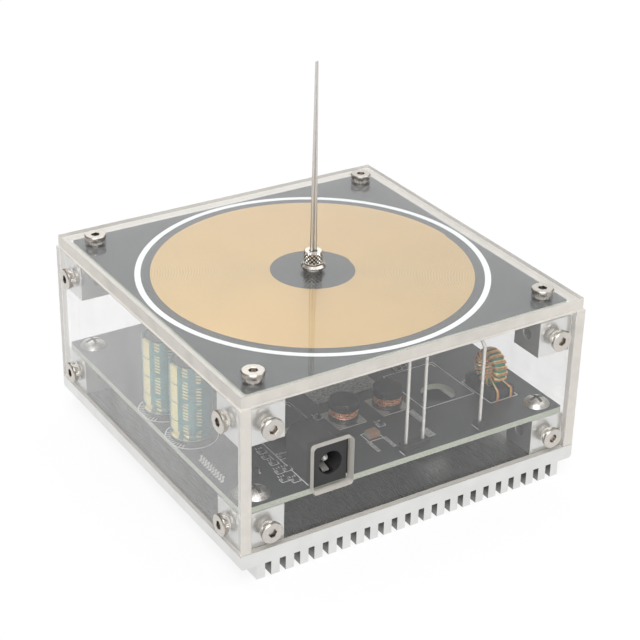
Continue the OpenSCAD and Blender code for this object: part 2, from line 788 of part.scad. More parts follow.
module drum_cores() {
    color("darkslategray") for (p = drum_places)
        translate([p[0], p[1], board_top + trace_t]) {
            cylinder(d = drum_d, h = drum_foot_t);
            cylinder(d = drum_waist_d, h = drum_h);
            translate([0, 0, drum_foot_t + drum_window_h])
                cylinder(d = drum_d, h = drum_h - drum_foot_t - drum_window_h);
        }
}

// Small vector helpers
function unit(v) = v / norm(v);
function power_cos(a, n) = sign(cos(a)) * pow(abs(cos(a)), 2 / n);
function power_sin(a, n) = sign(sin(a)) * pow(abs(sin(a)), 2 / n);

// The rings of a wire that follows a path; outs gives a direction off the wire at each point
function wire_ring(path, outs, i, r) =
    let (last = len(path) - 1,
        along = unit(path[min(i + 1, last)] - path[max(i - 1, 0)]),
        side = unit(cross(along, outs[i])),
        out = cross(side, along))
    [for (k = [0 : wire_sides - 1])
        path[i] + r * (cos(k * 360 / wire_sides) * out + sin(k * 360 / wire_sides) * side)];

// A solid wire along a path
module wire(path, outs, r) {
    count = len(path);
    points = [for (i = [0 : count - 1]) each wire_ring(path, outs, i, r)];
    around = [for (i = [0 : count - 2], k = [0 : wire_sides - 1])
        let (a = i * wire_sides + k, b = i * wire_sides + (k + 1) % wire_sides)
        each [[a, b, a + wire_sides], [b, b + wire_sides, a + wire_sides]]];
    start = [for (k = [1 : wire_sides - 2]) [0, k + 1, k]];
    end = [for (k = [1 : wire_sides - 2]) [0, k, k + 1] + (count - 1) * wire_sides * [1, 1, 1]];
    polyhedron(points = points, faces = concat(around, start, end), convexity = 10);
}

// The least distance between points half a loop to one and a half loops apart, less the wire
function least_gap(path, d) = min([for (i = [0 : len(path) - loop_rings / 2 - 1],
    j = [i + loop_rings / 2 : min(i + 3 * loop_rings / 2, len(path) - 1)]) norm(path[i] - path[j])]) - d;

// The outer layer on a drum: a straight end up from the foot, a helix, and a straight end
drum_coil_r = drum_waist_d / 2 + drum_wire_d / 2 + wire_play;
drum_steps = ceil(drum_turns * loop_rings);
drum_helix = [for (i = [0 : drum_steps])
    let (t = i / drum_steps, a = 360 * drum_turns * t)
    [drum_coil_r * cos(a), drum_coil_r * sin(a), drum_wire_d + t * drum_turns * drum_pitch]];
drum_end = drum_helix[drum_steps];
drum_path = concat([[drum_coil_r, 0, 0]], drum_helix, [[drum_end[0], drum_end[1], drum_window_h]]);
drum_outs = [for (p = drum_path) unit([p[0], p[1], 0])];

module drum_windings() {
    color("chocolate") for (p = drum_places)
        translate([p[0], p[1], board_top + trace_t + drum_foot_t])
            wire(drum_path, drum_outs, drum_wire_d / 2);
    echo("least gap in a drum winding", least_gap(drum_path, drum_wire_d));
}

module toroid_core() {
    color("seagreen") translate([toroid_x, toroid_y, toroid_axis_z]) rotate([0, 90, 0])
        rotate_extrude() translate([toroid_mid_r, 0])
            round_plate((toroid_outer_d - toroid_inner_d) / 2, toroid_w, toroid_edge_r);
}

// The toroid's winding from one leg to the other; the ring stands in the YZ plane
toroid_steps = toroid_turns * loop_rings;
function around_ring(t) = wind_start - 360 * wind_share * t;
function ring_out(t) = [0, cos(around_ring(t)), sin(around_ring(t))];
function loop_at(t) = let (a = 180 + 360 * toroid_turns * t)
    (toroid_mid_r + loop_a * power_sin(a, loop_power)) * ring_out(t)
    + [loop_b * power_cos(a, loop_power), 0, 0];
function loop_out(t) = let (a = 180 + 360 * toroid_turns * t)
    unit(sin(a) * ring_out(t) + [cos(a), 0, 0]);
toroid_center = [toroid_x, toroid_y, toroid_axis_z];
toroid_loops = [for (i = [0 : toroid_steps]) toroid_center + loop_at(i / toroid_steps)];
leg_top = board_top + cradle_h;
leg_end = board_z - solder_end;
// A leg from the board up to the ring, over the cradle's front edge
function leg(p, end) = [[p[0], p[1], leg_end], [p[0], p[1], board_z], [p[0], p[1], leg_top - toroid_wire_d],
    [(3 * p[0] + end[0]) / 4, p[1] + toroid_wire_d, leg_top + toroid_wire_d],
    [(p[0] + end[0]) / 2, (p[1] + end[1]) / 2, (leg_top + toroid_wire_d + end[2]) / 2]];
leg_a = leg(toroid_legs[0], toroid_loops[0]);
half_turn_short = toroid_steps - loop_rings / 2;
toroid_run = [for (i = [0 : half_turn_short]) toroid_loops[i]];
run_end = toroid_run[half_turn_short];
leg_b = leg(toroid_legs[1], run_end);
toroid_path = concat(leg_a, toroid_run, [for (i = [len(leg_b) - 1 : -1 : 0]) leg_b[i]]);
toroid_outs = concat([for (p = leg_a) [-1, 0, 0]],
    [for (i = [0 : half_turn_short]) loop_out(i / toroid_steps)], [for (p = leg_b) [1, 0, 0]]);

module toroid_winding() {
    color("peru") wire(toroid_path, toroid_outs, toroid_wire_r);
    echo("least gap in the toroid winding", least_gap(toroid_run, toroid_wire_d));
}

module toroid_cradle() {
    color("black") difference() {
        translate([toroid_x - cradle_w / 2, cradle_front_y, board_top]) cube([cradle_w, cradle_l, cradle_h]);
        translate([toroid_x, toroid_y, toroid_axis_z]) rotate([0, 90, 0])
            cylinder(r = trough_r, h = cradle_w + 2 * cut, center = true);
    }
}

module link_pin_bases() {
    color("black") difference() {
        union() {
            translate([link_x - link_base_w / 2, link_y - link_base_w / 2, board_top])
                cube([link_pitch + link_base_w, link_base_w, link_base_h]);
            translate([feedback_x - link_base_w / 2, feedback_y - link_base_w / 2, board_top])
                cube([link_base_w, link_base_w, link_base_h]);
        }
        holes(concat(power_links, [[feedback_x, feedback_y]]), link_pin_d + 2 * play, board_top,
            link_base_h);
    }
}

module link_pins() {
    foot_z = board_z - solder_end;
    bend_z = coil_z - link_bend_h;
    lean = atan(link_bend / link_bend_h);
    color("silver") {
        for (p = power_links) translate([p[0], p[1], foot_z]) cylinder(r = link_pin_r, h = coil_z - foot_z);
        translate([feedback_x, feedback_y, foot_z]) cylinder(r = link_pin_r, h = bend_z - foot_z);
        intersection() {
            translate([feedback_x, feedback_y, bend_z]) rotate([0, -lean, 0])
                translate([0, 0, -link_pin_r])
                cylinder(r = link_pin_r, h = norm([link_bend, link_bend_h]) + 2 * link_pin_d);
            translate([feedback_top_x - link_bend, feedback_y - link_base_w, bend_z - link_pin_d])
                cube([3 * link_bend, 2 * link_base_w, link_bend_h + link_pin_d]);
        }
    }
}

// A bead of solder that hangs from the coil board around a pin
module bead(x, y) {
    difference() {
        translate([x, y, coil_z]) sphere(r = bead_r);
        translate([x - 2 * bead_r, y - 2 * bead_r, coil_z]) cube([4 * bead_r, 4 * bead_r, 2 * bead_r]);
        translate([x, y, coil_z - 2 * bead_r]) cylinder(r = link_pin_r + play, h = 2 * bead_r + cut);
    }
}

module solder_beads() {
    color("gainsboro") for (p = power_links) bead(p[0], p[1]);
}

module transistor_bodies() {
    color("black") for (s = fet_x_shares) difference() {
        translate([s * board_w - fet_w / 2, fet_front_y, fet_z]) cube([fet_w, fet_l, fet_t]);
        translate([s * board_w - fet_w / 2 + fet_rim, fet_front_y + fet_rim, fet_z - cut])
            cube([fet_w - 2 * fet_rim, fet_l - 2 * fet_rim, fet_tab_t + cut]);
        holes([[s * board_w, fet_hole_y]], fet_hole_d, fet_z, fet_t);
    }
}

module transistor_tabs() {
    color("silver") for (s = fet_x_shares) difference() {
        translate([s * board_w - fet_w / 2 + fet_rim, fet_front_y + fet_rim, fet_z])
            cube([fet_w - 2 * fet_rim, fet_l - 2 * fet_rim, fet_tab_t]);
        holes([[s * board_w, fet_hole_y]], fet_hole_d, fet_z, fet_tab_t);
    }
}

module transistor_leads() {
    color("silver") for (p = fet_leads) {
        translate([p[0] - fet_lead_w / 2, fet_back_y, fet_lead_z])
            cube([fet_lead_w, fet_lead_reach + fet_lead_t / 2, fet_lead_t]);
        translate([p[0], p[1], fet_lead_z + fet_lead_t / 2])
            cylinder(d = lead_d, h = board_top - fet_lead_z);
    }
}

module transistor_screws() {
    color("gainsboro") for (s = fet_x_shares) translate([s * board_w, fet_hole_y, fet_top])
        dome_screw(fet_t + insulator_t + base_t, socket_head_d, dome_head_h);
}

module insulating_pads() {
    color("lightsteelblue") for (s = fet_x_shares) difference() {
        translate([s * board_w - fet_w / 2 - insulator_lap, fet_front_y - insulator_lap, base_z])
            cube([fet_w + 2 * insulator_lap, fet_l + 2 * insulator_lap, insulator_t]);
        holes([[s * board_w, fet_hole_y]], fet_hole_d, base_z, insulator_t);
    }
}

module driver_chip_body() {
    color("black") translate([chip_x - chip_w / 2, chip_y - chip_l / 2, board_top + chip_rise])
        cube([chip_w, chip_l, chip_t]);
}

// A bent chip pin in the XZ plane, whose foot points to +X
module chip_pin() {
    knee = chip_pin_reach / 2;
    shoulder = chip_rise + chip_t / 2;
    rotate([90, 0, 0]) linear_extrude(height = chip_pin_w, center = true) {
        translate([0, shoulder - chip_pin_t / 2]) square([knee, chip_pin_t]);
        translate([knee - chip_pin_t, 0]) square([chip_pin_t, shoulder + chip_pin_t / 2]);
        translate([knee - chip_pin_t, 0]) square([chip_pin_reach - knee + chip_pin_t, chip_pin_t]);
    }
}

module driver_chip_pins() {
    row = (chip_pins - 1) * chip_pitch;
    color("silver") for (side = [0, 180], k = [0 : chip_pins - 1])
        translate([chip_x, chip_y - row / 2 + k * chip_pitch, board_top])
            rotate([0, 0, side]) translate([chip_w / 2, 0, 0]) chip_pin();
}

// A block with a cap of tin on each end, split into its two materials
module chip_body(x, y, l, w, h) {
    translate([x - l / 2 + end_cap_t, y - w / 2, board_top + trace_t])
        cube([l - 2 * end_cap_t, w, h]);
}

module chip_ends(x, y, l, w, h) {
    for (side = [-1, 1]) translate([x + side * (l - end_cap_t) / 2 - end_cap_t / 2, y - w / 2, board_top])
        cube([end_cap_t, w, h + trace_t]);
}

module ceramic_capacitor_body() {
    color("peru") chip_body(ceramic_x, ceramic_y, ceramic_l, ceramic_w, ceramic_h);
}

module ceramic_capacitor_ends() {
    color("silver") chip_ends(ceramic_x, ceramic_y, ceramic_l, ceramic_w, ceramic_h);
}

module chip_resistor_bodies() {
    color("black") for (p = resistor_places) chip_body(p[0], p[1], resistor_l, resistor_w, resistor_h);
}

module chip_resistor_ends() {
    color("silver") for (p = resistor_places) chip_ends(p[0], p[1], resistor_l, resistor_w, resistor_h);
}

heat_sink();
base_screws();
lower_corner_blocks();
upper_corner_blocks();
front_panel();
back_panel();
left_panel();
right_panel();
panel_screws();
lid_panel();
lid_screws();
coil_board();
coil_track();
primary_track();
driver_board();
driver_board_screws();
solder_pads();
terminal_stud();
terminal_flange();
thread_bush();
knurled_collar();
discharge_needles();
jack_housing();
jack_center_pin();
jack_spring();
jack_legs();
capacitor_cans();
capacitor_sleeves();
capacitor_seals();
capacitor_leads();
drum_pads();
drum_cores();
drum_windings();
toroid_core();
toroid_winding();
toroid_cradle();
link_pin_bases();
link_pins();
solder_beads();
transistor_bodies();
transistor_tabs();
transistor_leads();
transistor_screws();
insulating_pads();
driver_chip_body();
driver_chip_pins();
ceramic_capacitor_body();
ceramic_capacitor_ends();
chip_resistor_bodies();
chip_resistor_ends();
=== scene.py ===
"""Looks of the desktop resonant transformer: finishes, wound coils, screws, printing and light."""

import logging
import math
from dataclasses import dataclass
from enum import Enum
from typing import Callable, Iterable, Sequence

import bmesh
import bpy
from mathutils import Matrix, Vector


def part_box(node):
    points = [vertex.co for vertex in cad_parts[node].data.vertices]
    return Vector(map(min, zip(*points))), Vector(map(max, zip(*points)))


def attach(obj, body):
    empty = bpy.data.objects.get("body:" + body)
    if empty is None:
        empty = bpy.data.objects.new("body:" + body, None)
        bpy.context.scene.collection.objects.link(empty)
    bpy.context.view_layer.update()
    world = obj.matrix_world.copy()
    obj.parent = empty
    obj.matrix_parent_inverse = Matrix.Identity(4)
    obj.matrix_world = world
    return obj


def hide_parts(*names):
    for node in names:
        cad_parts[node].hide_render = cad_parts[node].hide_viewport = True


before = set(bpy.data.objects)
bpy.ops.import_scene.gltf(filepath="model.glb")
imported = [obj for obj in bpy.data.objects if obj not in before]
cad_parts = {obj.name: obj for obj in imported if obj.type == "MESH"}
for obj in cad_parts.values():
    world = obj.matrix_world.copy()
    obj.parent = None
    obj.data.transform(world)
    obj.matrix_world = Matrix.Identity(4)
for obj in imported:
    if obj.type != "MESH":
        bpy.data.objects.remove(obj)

LOG = logging.getLogger("resonant_transformer")
MM = 0.001
WELD = 0.002 * MM
UP = Vector((0, 0, 1))
ORIGIN = Vector()
CASE = "case"
TERMINAL = "discharge_terminal"
Colour = tuple[float, float, float]
WHITE: Colour = (1.0, 1.0, 1.0)
MIDDLE = (0.3, 0.7)
NARROW = (0.35, 0.65)
SQUARE_ON = (0.7, 0.9)
SEEN = ("Camera", "Glossy", "Transmission")


class Signal:
    """A socket of a tree. Arithmetic on one that carries a number adds Math nodes."""

    def __init__(self, tree: "Tree", socket: bpy.types.NodeSocket) -> None:
        """Wraps a socket of a tree."""
        self.tree = tree
        self.socket = socket

    def math(self, operation: str, other: "Signal | float" = 0.0,
             flipped: bool = False) -> "Signal":
        """Adds one Math node, in which the second operand goes first if flipped."""
        first, second = (other, self) if flipped else (self, other)
        return self.tree.add("ShaderNodeMath", {"operation": operation}, {0: first, 1: second})

    def __add__(self, other: "Signal | float") -> "Signal":
        """Sum."""
        return self.math("ADD", other)

    def __sub__(self, other: "Signal | float") -> "Signal":
        """Difference."""
        return self.math("SUBTRACT", other)

    def __rsub__(self, other: float) -> "Signal":
        """Difference from a number."""
        return self.math("SUBTRACT", other, flipped=True)

    def __mul__(self, other: "Signal | float") -> "Signal":
        """Product."""
        return self.math("MULTIPLY", other)

    def __truediv__(self, other: "Signal | float") -> "Signal":
        """Quotient."""
        return self.math("DIVIDE", other)

    def __rtruediv__(self, other: float) -> "Signal":
        """Quotient of a number."""
        return self.math("DIVIDE", other, flipped=True)

    def __abs__(self) -> "Signal":
        """Size without its sign."""
        return self.math("ABSOLUTE")

    def __lt__(self, other: "Signal | float") -> "Signal":
        """1 where it is less, else 0."""
        return self.math("LESS_THAN", other)

    def __gt__(self, other: "Signal | float") -> "Signal":
        """1 where it is greater, else 0."""
        return self.math("GREATER_THAN", other)

    __radd__ = __add__
    __rmul__ = __mul__

    def most(self, other: "Signal") -> "Signal":
        """The greater of two."""
        return self.math("MAXIMUM", other)

    def ramp(self, low: float, high: float) -> "Signal":
        """A smooth step from 0 at low to 1 at high.

        Args:
            low: Where it is 0.
            high: Where it is 1, which may be below low.

        Returns:
            The step.
        """
        ends = (low, high, 0.0, 1.0) if low < high else (high, low, 1.0, 0.0)
        sockets = dict(zip(("From Min", "From Max", "To Min", "To Max"), ends))
        return self.tree.add("ShaderNodeMapRange", {"interpolation_type": "SMOOTHSTEP"},
                             {"Value": self, **sockets})


class Tree:
    """A node tree, whose nodes all come from one method."""

    def __init__(self, tree: bpy.types.NodeTree) -> None:
        """Starts the tree empty."""
        self.tree = tree
        self.tree.nodes.clear()

    def add(self, kind: str, settings: dict | None = None, sockets: dict | None = None,
            out: int | str = 0) -> Signal:
        """Adds any node.

        Args:
            kind: The node's type.
            settings: Its properties, which are set first.
            sockets: Values or links of its sockets, by name or number.
            out: The output that is handed back.

        Returns:
            That output.
        """
        node = self.tree.nodes.new(kind)
        for key, value in (settings or {}).items():
            setattr(node, key, value)
        for key, value in (sockets or {}).items():
            if isinstance(value, Signal):
                self.tree.links.new(value.socket, node.inputs[key])
            else:
                node.inputs[key].default_value = value
        return Signal(self, node.outputs[out])

    def end(self, kind: str, result: Signal) -> None:
        """Links a result to the first socket of a new output node."""
        self.tree.links.new(result.socket, self.tree.nodes.new(kind).inputs[0])

    def mix(self, share: Signal | float, first: Signal | Colour, second: Signal | Colour) -> Signal:
        """A colour between two, by share."""
        a, b = (c if isinstance(c, Signal) else (*c, 1.0) for c in (first, second))
        return self.add("ShaderNodeMix", {"data_type": "RGBA"}, {0: share, 6: a, 7: b}, out=2)

    def rays(self, first: str, *others: str) -> Signal:
        """Marks rays of some kinds.

        Args:
            first: One kind, such as Camera.
            *others: Further kinds.

        Returns:
            1 for rays of these kinds, else 0.
        """
        marked = self.add("ShaderNodeLightPath", out=f"Is {first} Ray")
        for kind in others:
            marked = marked.most(self.add("ShaderNodeLightPath", out=f"Is {kind} Ray"))
        return marked


class Sheet(Tree):
    """The node tree of one material."""

    def __init__(self, name: str) -> None:
        """Starts an empty material.

        Args:
            name: Its name.
        """
        self.material = bpy.data.materials.new(name)
        self.material.use_nodes = True
        super().__init__(self.material.node_tree)

    def place(self) -> Signal:
        """Object coordinates."""
        return self.add("ShaderNodeTexCoord", out="Object")

    def axis(self, name: str) -> Signal:
        """One Object coordinate, X, Y or Z, in metres."""
        return self.add("ShaderNodeSeparateXYZ", None, {0: self.place()}, out=name)

    def bearing(self) -> Signal:
        """The angle round the Z axis, in radians."""
        return self.axis("Y").math("ARCTAN2", self.axis("X"))

    def facing(self, name: str) -> Signal:
        """How squarely the surface faces along an axis of the object, from 0 to 1."""
        normal = self.add("ShaderNodeTexCoord", out="Normal")
        return abs(self.add("ShaderNodeSeparateXYZ", None, {0: normal}, out=name))

    def noise(self, size: float, stretch: Sequence[float] = (1, 1, 1),
              detail: float = 3.0) -> Signal:
        """Noise whose grains are about size metres, finer or longer along each axis by stretch."""
        scaled = self.add("ShaderNodeMapping", None, {"Vector": self.place(), "Scale": stretch})
        return self.add("ShaderNodeTexNoise", None,
                        {"Vector": scaled, "Scale": 1 / size, "Detail": detail})

    def shades(self, share: Signal, colour: Colour, dark: float, light: float = 1.0) -> Signal:
        """A colour between a darker and a lighter shade of itself, by share."""
        return self.mix(share, shaded(colour, dark), shaded(colour, light))

    def blend(self, share: Signal | float, first: Signal, second: Signal) -> Signal:
        """A shader between two, by share."""
        return self.add("ShaderNodeMixShader", None, {0: share, 1: first, 2: second})

    def bump(self, height: Signal, depth: float) -> Signal:
        """A bumped normal whose full height is depth metres."""
        return self.add("ShaderNodeBump", None,
                        {"Height": height, "Distance": depth, "Strength": 1.0})

    def surface(self, colour: Signal | Colour, roughness: Signal | float, **sockets) -> Signal:
        """Adds a Principled shader.

        Args:
            colour: Its base colour.
            roughness: Its roughness.
            **sockets: Its other sockets, by name with _ for a space.

        Returns:
            The shader.
        """
        base = colour if isinstance(colour, Signal) else (*colour, 1.0)
        named = {key.replace("_", " "): value for key, value in sockets.items()}
        return self.add("ShaderNodeBsdfPrincipled", None,
                        {"Base Color": base, "Roughness": roughness, **named})

    def done(self, shader: Signal) -> bpy.types.Material:
        """Links the finished shader and hands back the material."""
        self.end("ShaderNodeOutputMaterial", shader)
        return self.material


def shaded(colour: Colour, factor: float) -> Colour:
    """A lighter or darker colour."""
    return tuple(min(1.0, c * factor) for c in colour)


class Lay(Enum):
    """Which way a grain runs, as the stretch of its noise."""

    ALONG_Y = (1.0, 0.012, 1.0)
    ALONG_Z = (1.0, 1.0, 0.02)
    EVEN = (1.0, 1.0, 1.0)


@dataclass(frozen=True)
class Look:
    """A finish, which becomes one material of its name."""

    name: str

    def shader(self, sheet: Sheet) -> Signal:
        """The finish's shader, which each kind of finish builds its own way."""
        raise NotImplementedError(self.name)

    def material(self) -> bpy.types.Material:
        """Builds the finish when it is first asked for.

        Returns:
            The finish as a material.
        """
        made = bpy.data.materials.get(self.name)
        if made is None:
            sheet = Sheet(self.name)
            made = sheet.done(self.shader(sheet))
        return made


@dataclass(frozen=True)
class Metal(Look):
    """Bare or plated metal with a grain and faint mottling."""

    colour: Colour
    roughness: float
    grain: float = 0.25 * MM
    depth: float = 0.01 * MM
    mottle: float = 0.08
    patch: float = 4 * MM
    metallic: float = 1.0
    lay: Lay = Lay.EVEN
    spread: float = 0.6

    def shader(self, sheet: Sheet) -> Signal:
        """Mottles the colour and lets the grain vary the gloss.

        Args:
            sheet: The material's nodes.

        Returns:
            The shader.
        """
        patches = sheet.noise(self.patch)
        grain = sheet.noise(self.grain, self.lay.value)
        colour = sheet.shades(patches.ramp(*MIDDLE), self.colour, 1 - self.mottle)
        roughness = self.roughness + (grain - 0.5) * (self.spread * self.roughness)
        return sheet.surface(colour, roughness, Metallic=self.metallic,
                             Normal=sheet.bump(grain, self.depth))


@dataclass(frozen=True)
class CrossHead(Look):
    """Plated pan heads, one near each corner of a square, with a cross recess painted on each head
    as dark shade.
    """

    corner: float = 42.0 * MM
    colour: Colour = (0.82, 0.79, 0.74)
    # dark: the painted shade of the cross recess
    dark: Colour = (0.07, 0.06, 0.05)
    arm: float = 0.5 * MM
    reach: float = 2.2 * MM
    roughness: float = 0.36
    dullness: float = 0.3
    mottle: float = 0.4
    grain: float = 0.35 * MM
    depth: float = 0.05 * MM

    def shader(self, sheet: Sheet) -> Signal:
        """Paints a dark cross of shade on each head, where the recess lies.

        Args:
            sheet: The material's nodes.

        Returns:
            The shader.
        """
        x, y = (abs(sheet.axis(name)) - self.corner for name in "XY")
        radius = (x * x + y * y).math("SQRT")
        arms = abs(x).math("MINIMUM", abs(y)).ramp(self.arm, 0.8 * self.arm)
        # Mask of the dark cross, painted for the recess's shade.
        cross = arms * radius.ramp(self.reach, 0.9 * self.reach)
        grain = sheet.noise(self.grain)
        plated = sheet.shades(grain.ramp(*NARROW), self.colour, 1 - self.mottle)
        return sheet.surface(sheet.mix(cross, plated, self.dark),
                             self.roughness + cross * self.dullness, Metallic=1 - cross,
                             Normal=sheet.bump(grain, self.depth))


@dataclass(frozen=True)
class Knurled(Look):
    """Plated metal with painted shade in the grooves of a diamond knurl about the Z axis and at its
    foot.
    """

    knurls: int
    pitch_z: float
    low: float
    high: float
    bevel: float = 0.3 * MM
    soft: float = 0.1 * MM
    colour: Colour = (0.88, 0.83, 0.76)
    # groove: the colour of the painted shade in the grooves and at the foot
    groove: Colour = (0.045, 0.03, 0.02)
    cut_from: float = 0.84
    cut_full: float = 0.93
    foot_shade_share: float = 0.8
    roughness: float = 0.3
    dullness: float = 0.2
    # How much less metallic the painted shade is.
    shade_dulling: float = 0.3

    def shader(self, sheet: Sheet) -> Signal:
        """Paints shade into two crossed sets of grooves between the bevels, and at the foot.

        Args:
            sheet: The material's nodes.

        Returns:
            The shader.
        """
        angle = sheet.bearing() * (self.knurls / 2)
        height = sheet.axis("Z")
        climb = (height - self.low) * (math.pi / self.pitch_z)
        lines = abs((angle + climb).math("COSINE")).most(abs((angle - climb).math("COSINE")))
        first, last = self.low + self.bevel, self.high - self.bevel
        ring = height.ramp(first, first + self.soft) * height.ramp(last, last - self.soft)
        # Masks of painted shade: the knurl's grooves, and the foot where the collar sits on the
        # flange.
        cut = lines.ramp(self.cut_from, self.cut_full) * ring * sheet.facing("Z").ramp(0.7, 0.5)
        shade = cut.most(height.ramp(first - self.soft, self.low) * self.foot_shade_share)
        return sheet.surface(sheet.mix(shade, self.colour, self.groove),
                             self.roughness + cut * self.dullness,
                             Metallic=1 - shade * self.shade_dulling)


@dataclass(frozen=True)
class FinnedMetal(Look):
    """Brushed aluminium with painted shade: dark on the top under the case for the shade and
    reflection of the boards above, and dark between its fins, with painted light near the floor.
    """

    colour: Colour = (0.80, 0.80, 0.785)
    # inside: painted shade and reflection of the boards above, on the top under the case
    inside: Colour = (0.33, 0.33, 0.32)
    # gap: painted shade on the fins' walls and under the gaps' roofs
    gap: Colour = (0.10, 0.10, 0.095)
    roughness: float = 0.36
    grain: float = 0.11 * MM
    depth: float = 0.006 * MM
    cloud: float = 7 * MM
    inside_half: float = 47 * MM
    plate_low: float = 4.6 * MM
    gap_low: float = 0.5 * MM
    last_fin: float = 45.5 * MM
    soft: float = 0.1 * MM
    # lit_share: painted light on the lowest part of the fins' walls
    lit_share: float = 0.25
    spread: float = 0.15
    gloss: float = 0.08
    # How much less metallic the fins' walls and the gaps' roofs are under their painted shade.
    shade_dulling: float = 0.7

    def shader(self, sheet: Sheet) -> Signal:
        """Paints the boards' shade and reflection on the top under the case, and shade on the fins'
        walls and the gaps' roofs, with painted light near the floor.

        Args:
            sheet: The material's nodes.

        Returns:
            The shader.
        """
        grain = sheet.noise(self.grain, Lay.ALONG_Y.value, 4)
        x, y, z = (sheet.axis(name) for name in "XYZ")
        plate, soft = self.plate_low, self.soft
        # Mask of the top under the case, painted dark for the boards' shade and reflection.
        covered = abs(x).most(abs(y)).ramp(self.inside_half + soft / 2, self.inside_half - soft / 2)
        covered = covered * z.ramp(plate, plate + soft)
        brushed = sheet.shades(grain.ramp(*MIDDLE), self.inside, 0.94, 1.06)
        # Masks of the fins' walls and the gaps' roofs, painted dark for shade, with painted light
        # low on the walls.
        walls = sheet.facing("X").ramp(*SQUARE_ON) * abs(x).ramp(self.last_fin, self.last_fin - MM)
        roof = (sheet.facing("Z").ramp(*SQUARE_ON) * z.ramp(self.gap_low, 2 * self.gap_low)
                * z.ramp(plate + 4 * soft, plate + 2 * soft))
        lit = walls * z.ramp(plate + 5 * soft, 0.0) * self.lit_share
        outside = sheet.shades(sheet.noise(self.cloud).ramp(*MIDDLE), self.colour, 0.94)
        cut = sheet.mix((walls - lit).most(roof), outside, self.gap)
        roughness = self.roughness + (grain - 0.5) * self.spread - covered * self.gloss
        return sheet.surface(sheet.mix(covered, cut, brushed), roughness,
                             Metallic=1 - walls.most(roof) * self.shade_dulling,
                             Normal=sheet.bump(grain, self.depth))


@dataclass(frozen=True)
class Moulding(Look):
    """Moulded plastic, rubber, ferrite or ceramic."""

    colour: Colour
    roughness: float
    grain: float = 0.15 * MM
    depth: float = 0.01 * MM
    fleck: Colour | None = None
    coat: float = 0.0
    coat_roughness: float = 0.06
    spread: float = 0.5

    def shader(self, sheet: Sheet) -> Signal:
        """Flecks the colour and lets wider patches vary the gloss.

        Args:
            sheet: The material's nodes.

        Returns:
            The shader.
        """
        grain = sheet.noise(self.grain)
        fleck = self.fleck or shaded(self.colour, 1.6)
        colour = sheet.mix(grain.ramp(0.45, 0.75), self.colour, fleck)
        gloss = (sheet.noise(8 * self.grain) - 0.5) * (self.spread * self.roughness)
        return sheet.surface(colour, self.roughness + gloss, Normal=sheet.bump(grain, self.depth),
                             Coat_Weight=self.coat, Coat_Roughness=self.coat_roughness)


@dataclass(frozen=True)
class Acrylic(Look):
    """Clear sheet with frosted cut edges. A sheet's own faces look along one axis.

    Light for the pieces inside goes straight through, while views and mirrored rays are bent.
    """

    normal_axis: str
    veil: float = 0.012
    ior: float = 1.49
    edge_alpha: float = 0.88
    edge_colour: Colour = (0.67, 0.635, 0.585)
    edge_roughness: float = 0.45
    stain: Colour = (0.40, 0.31, 0.24)
    stain_top: float = 10.5 * MM
    speck: float = 0.5 * MM
    cloud: float = 6 * MM
    smear: float = 9 * MM
    stain_share: float = 0.7
    cloud_share: float = 0.22
    smear_share: float = 0.6
    alpha_spread: float = 0.35
    dust: Colour = (0.80, 0.80, 0.79)
    dust_roughness: float = 0.7
    shadow: Colour = (0.92, 0.92, 0.915)

    def shader(self, sheet: Sheet) -> Signal:
        """Joins frosted edges, faintly dusty panes and a clear way for light.

        Args:
            sheet: The material's nodes.

        Returns:
            The shader.
        """
        edge = sheet.facing(self.normal_axis).ramp(0.9, 0.5)
        specks = sheet.noise(self.speck, detail=5).ramp(0.6, 0.7)
        low = sheet.axis("Z").ramp(self.stain_top, 0.8 * self.stain_top)
        clouds = sheet.noise(self.cloud, detail=4)
        stained = low * specks * self.stain_share + clouds.ramp(0.55, 0.85) * self.cloud_share
        frost = sheet.surface(sheet.mix(stained, self.edge_colour, self.stain), self.edge_roughness,
                              Alpha=self.edge_alpha + (clouds - 0.5) * self.alpha_spread)
        clear = sheet.surface(WHITE, 0.0, IOR=self.ior, Transmission_Weight=1.0)
        smears = sheet.noise(self.smear, (1, 1, 0.4), 5).ramp(0.35, 0.8)
        veil = self.veil * (1 - self.smear_share / 2 + smears * self.smear_share)
        pane = sheet.blend(veil, clear, sheet.surface(self.dust, self.dust_roughness))
        shade = sheet.add("ShaderNodeBsdfTransparent", None, {"Color": (*self.shadow, 1.0)})
        return sheet.blend(sheet.rays("Shadow", "Diffuse"), sheet.blend(edge, pane, frost), shade)


@dataclass(frozen=True)
class Laminate(Look):
    """Circuit board: solder mask on its faces, pale glass fibre at its cut edges."""

    mask: Colour
    fibre: Colour = (0.54, 0.575, 0.475)
    roughness: float = 0.33
    thread: float = 0.35 * MM
    weave: float = 0.5 * MM
    depth: float = 0.008 * MM
    cloud: float = 7 * MM
    dullness: float = 0.4
    spread: float = 0.1
    lift: float = 4

    def shader(self, sheet: Sheet) -> Signal:
        """Tells the cut edges, with their threads, from the masked faces.

        Args:
            sheet: The material's nodes.

        Returns:
            The shader.
        """
        cut = sheet.facing("Z").ramp(0.8, 0.5)
        threads = sheet.noise(self.thread, (1, 1, 3))
        fibre = sheet.shades(threads.ramp(*NARROW), self.fibre, 0.7)
        clouds = sheet.noise(self.cloud, detail=5)
        mask = sheet.shades(clouds.ramp(*MIDDLE), self.mask, 0.85, 1.15)
        roughness = self.roughness + cut * self.dullness + (clouds - 0.5) * self.spread
        weave = sheet.noise(self.weave) * (1 - cut) + threads * cut * self.lift
        return sheet.surface(sheet.mix(cut, mask, fibre), roughness,
                             Normal=sheet.bump(weave, self.depth))


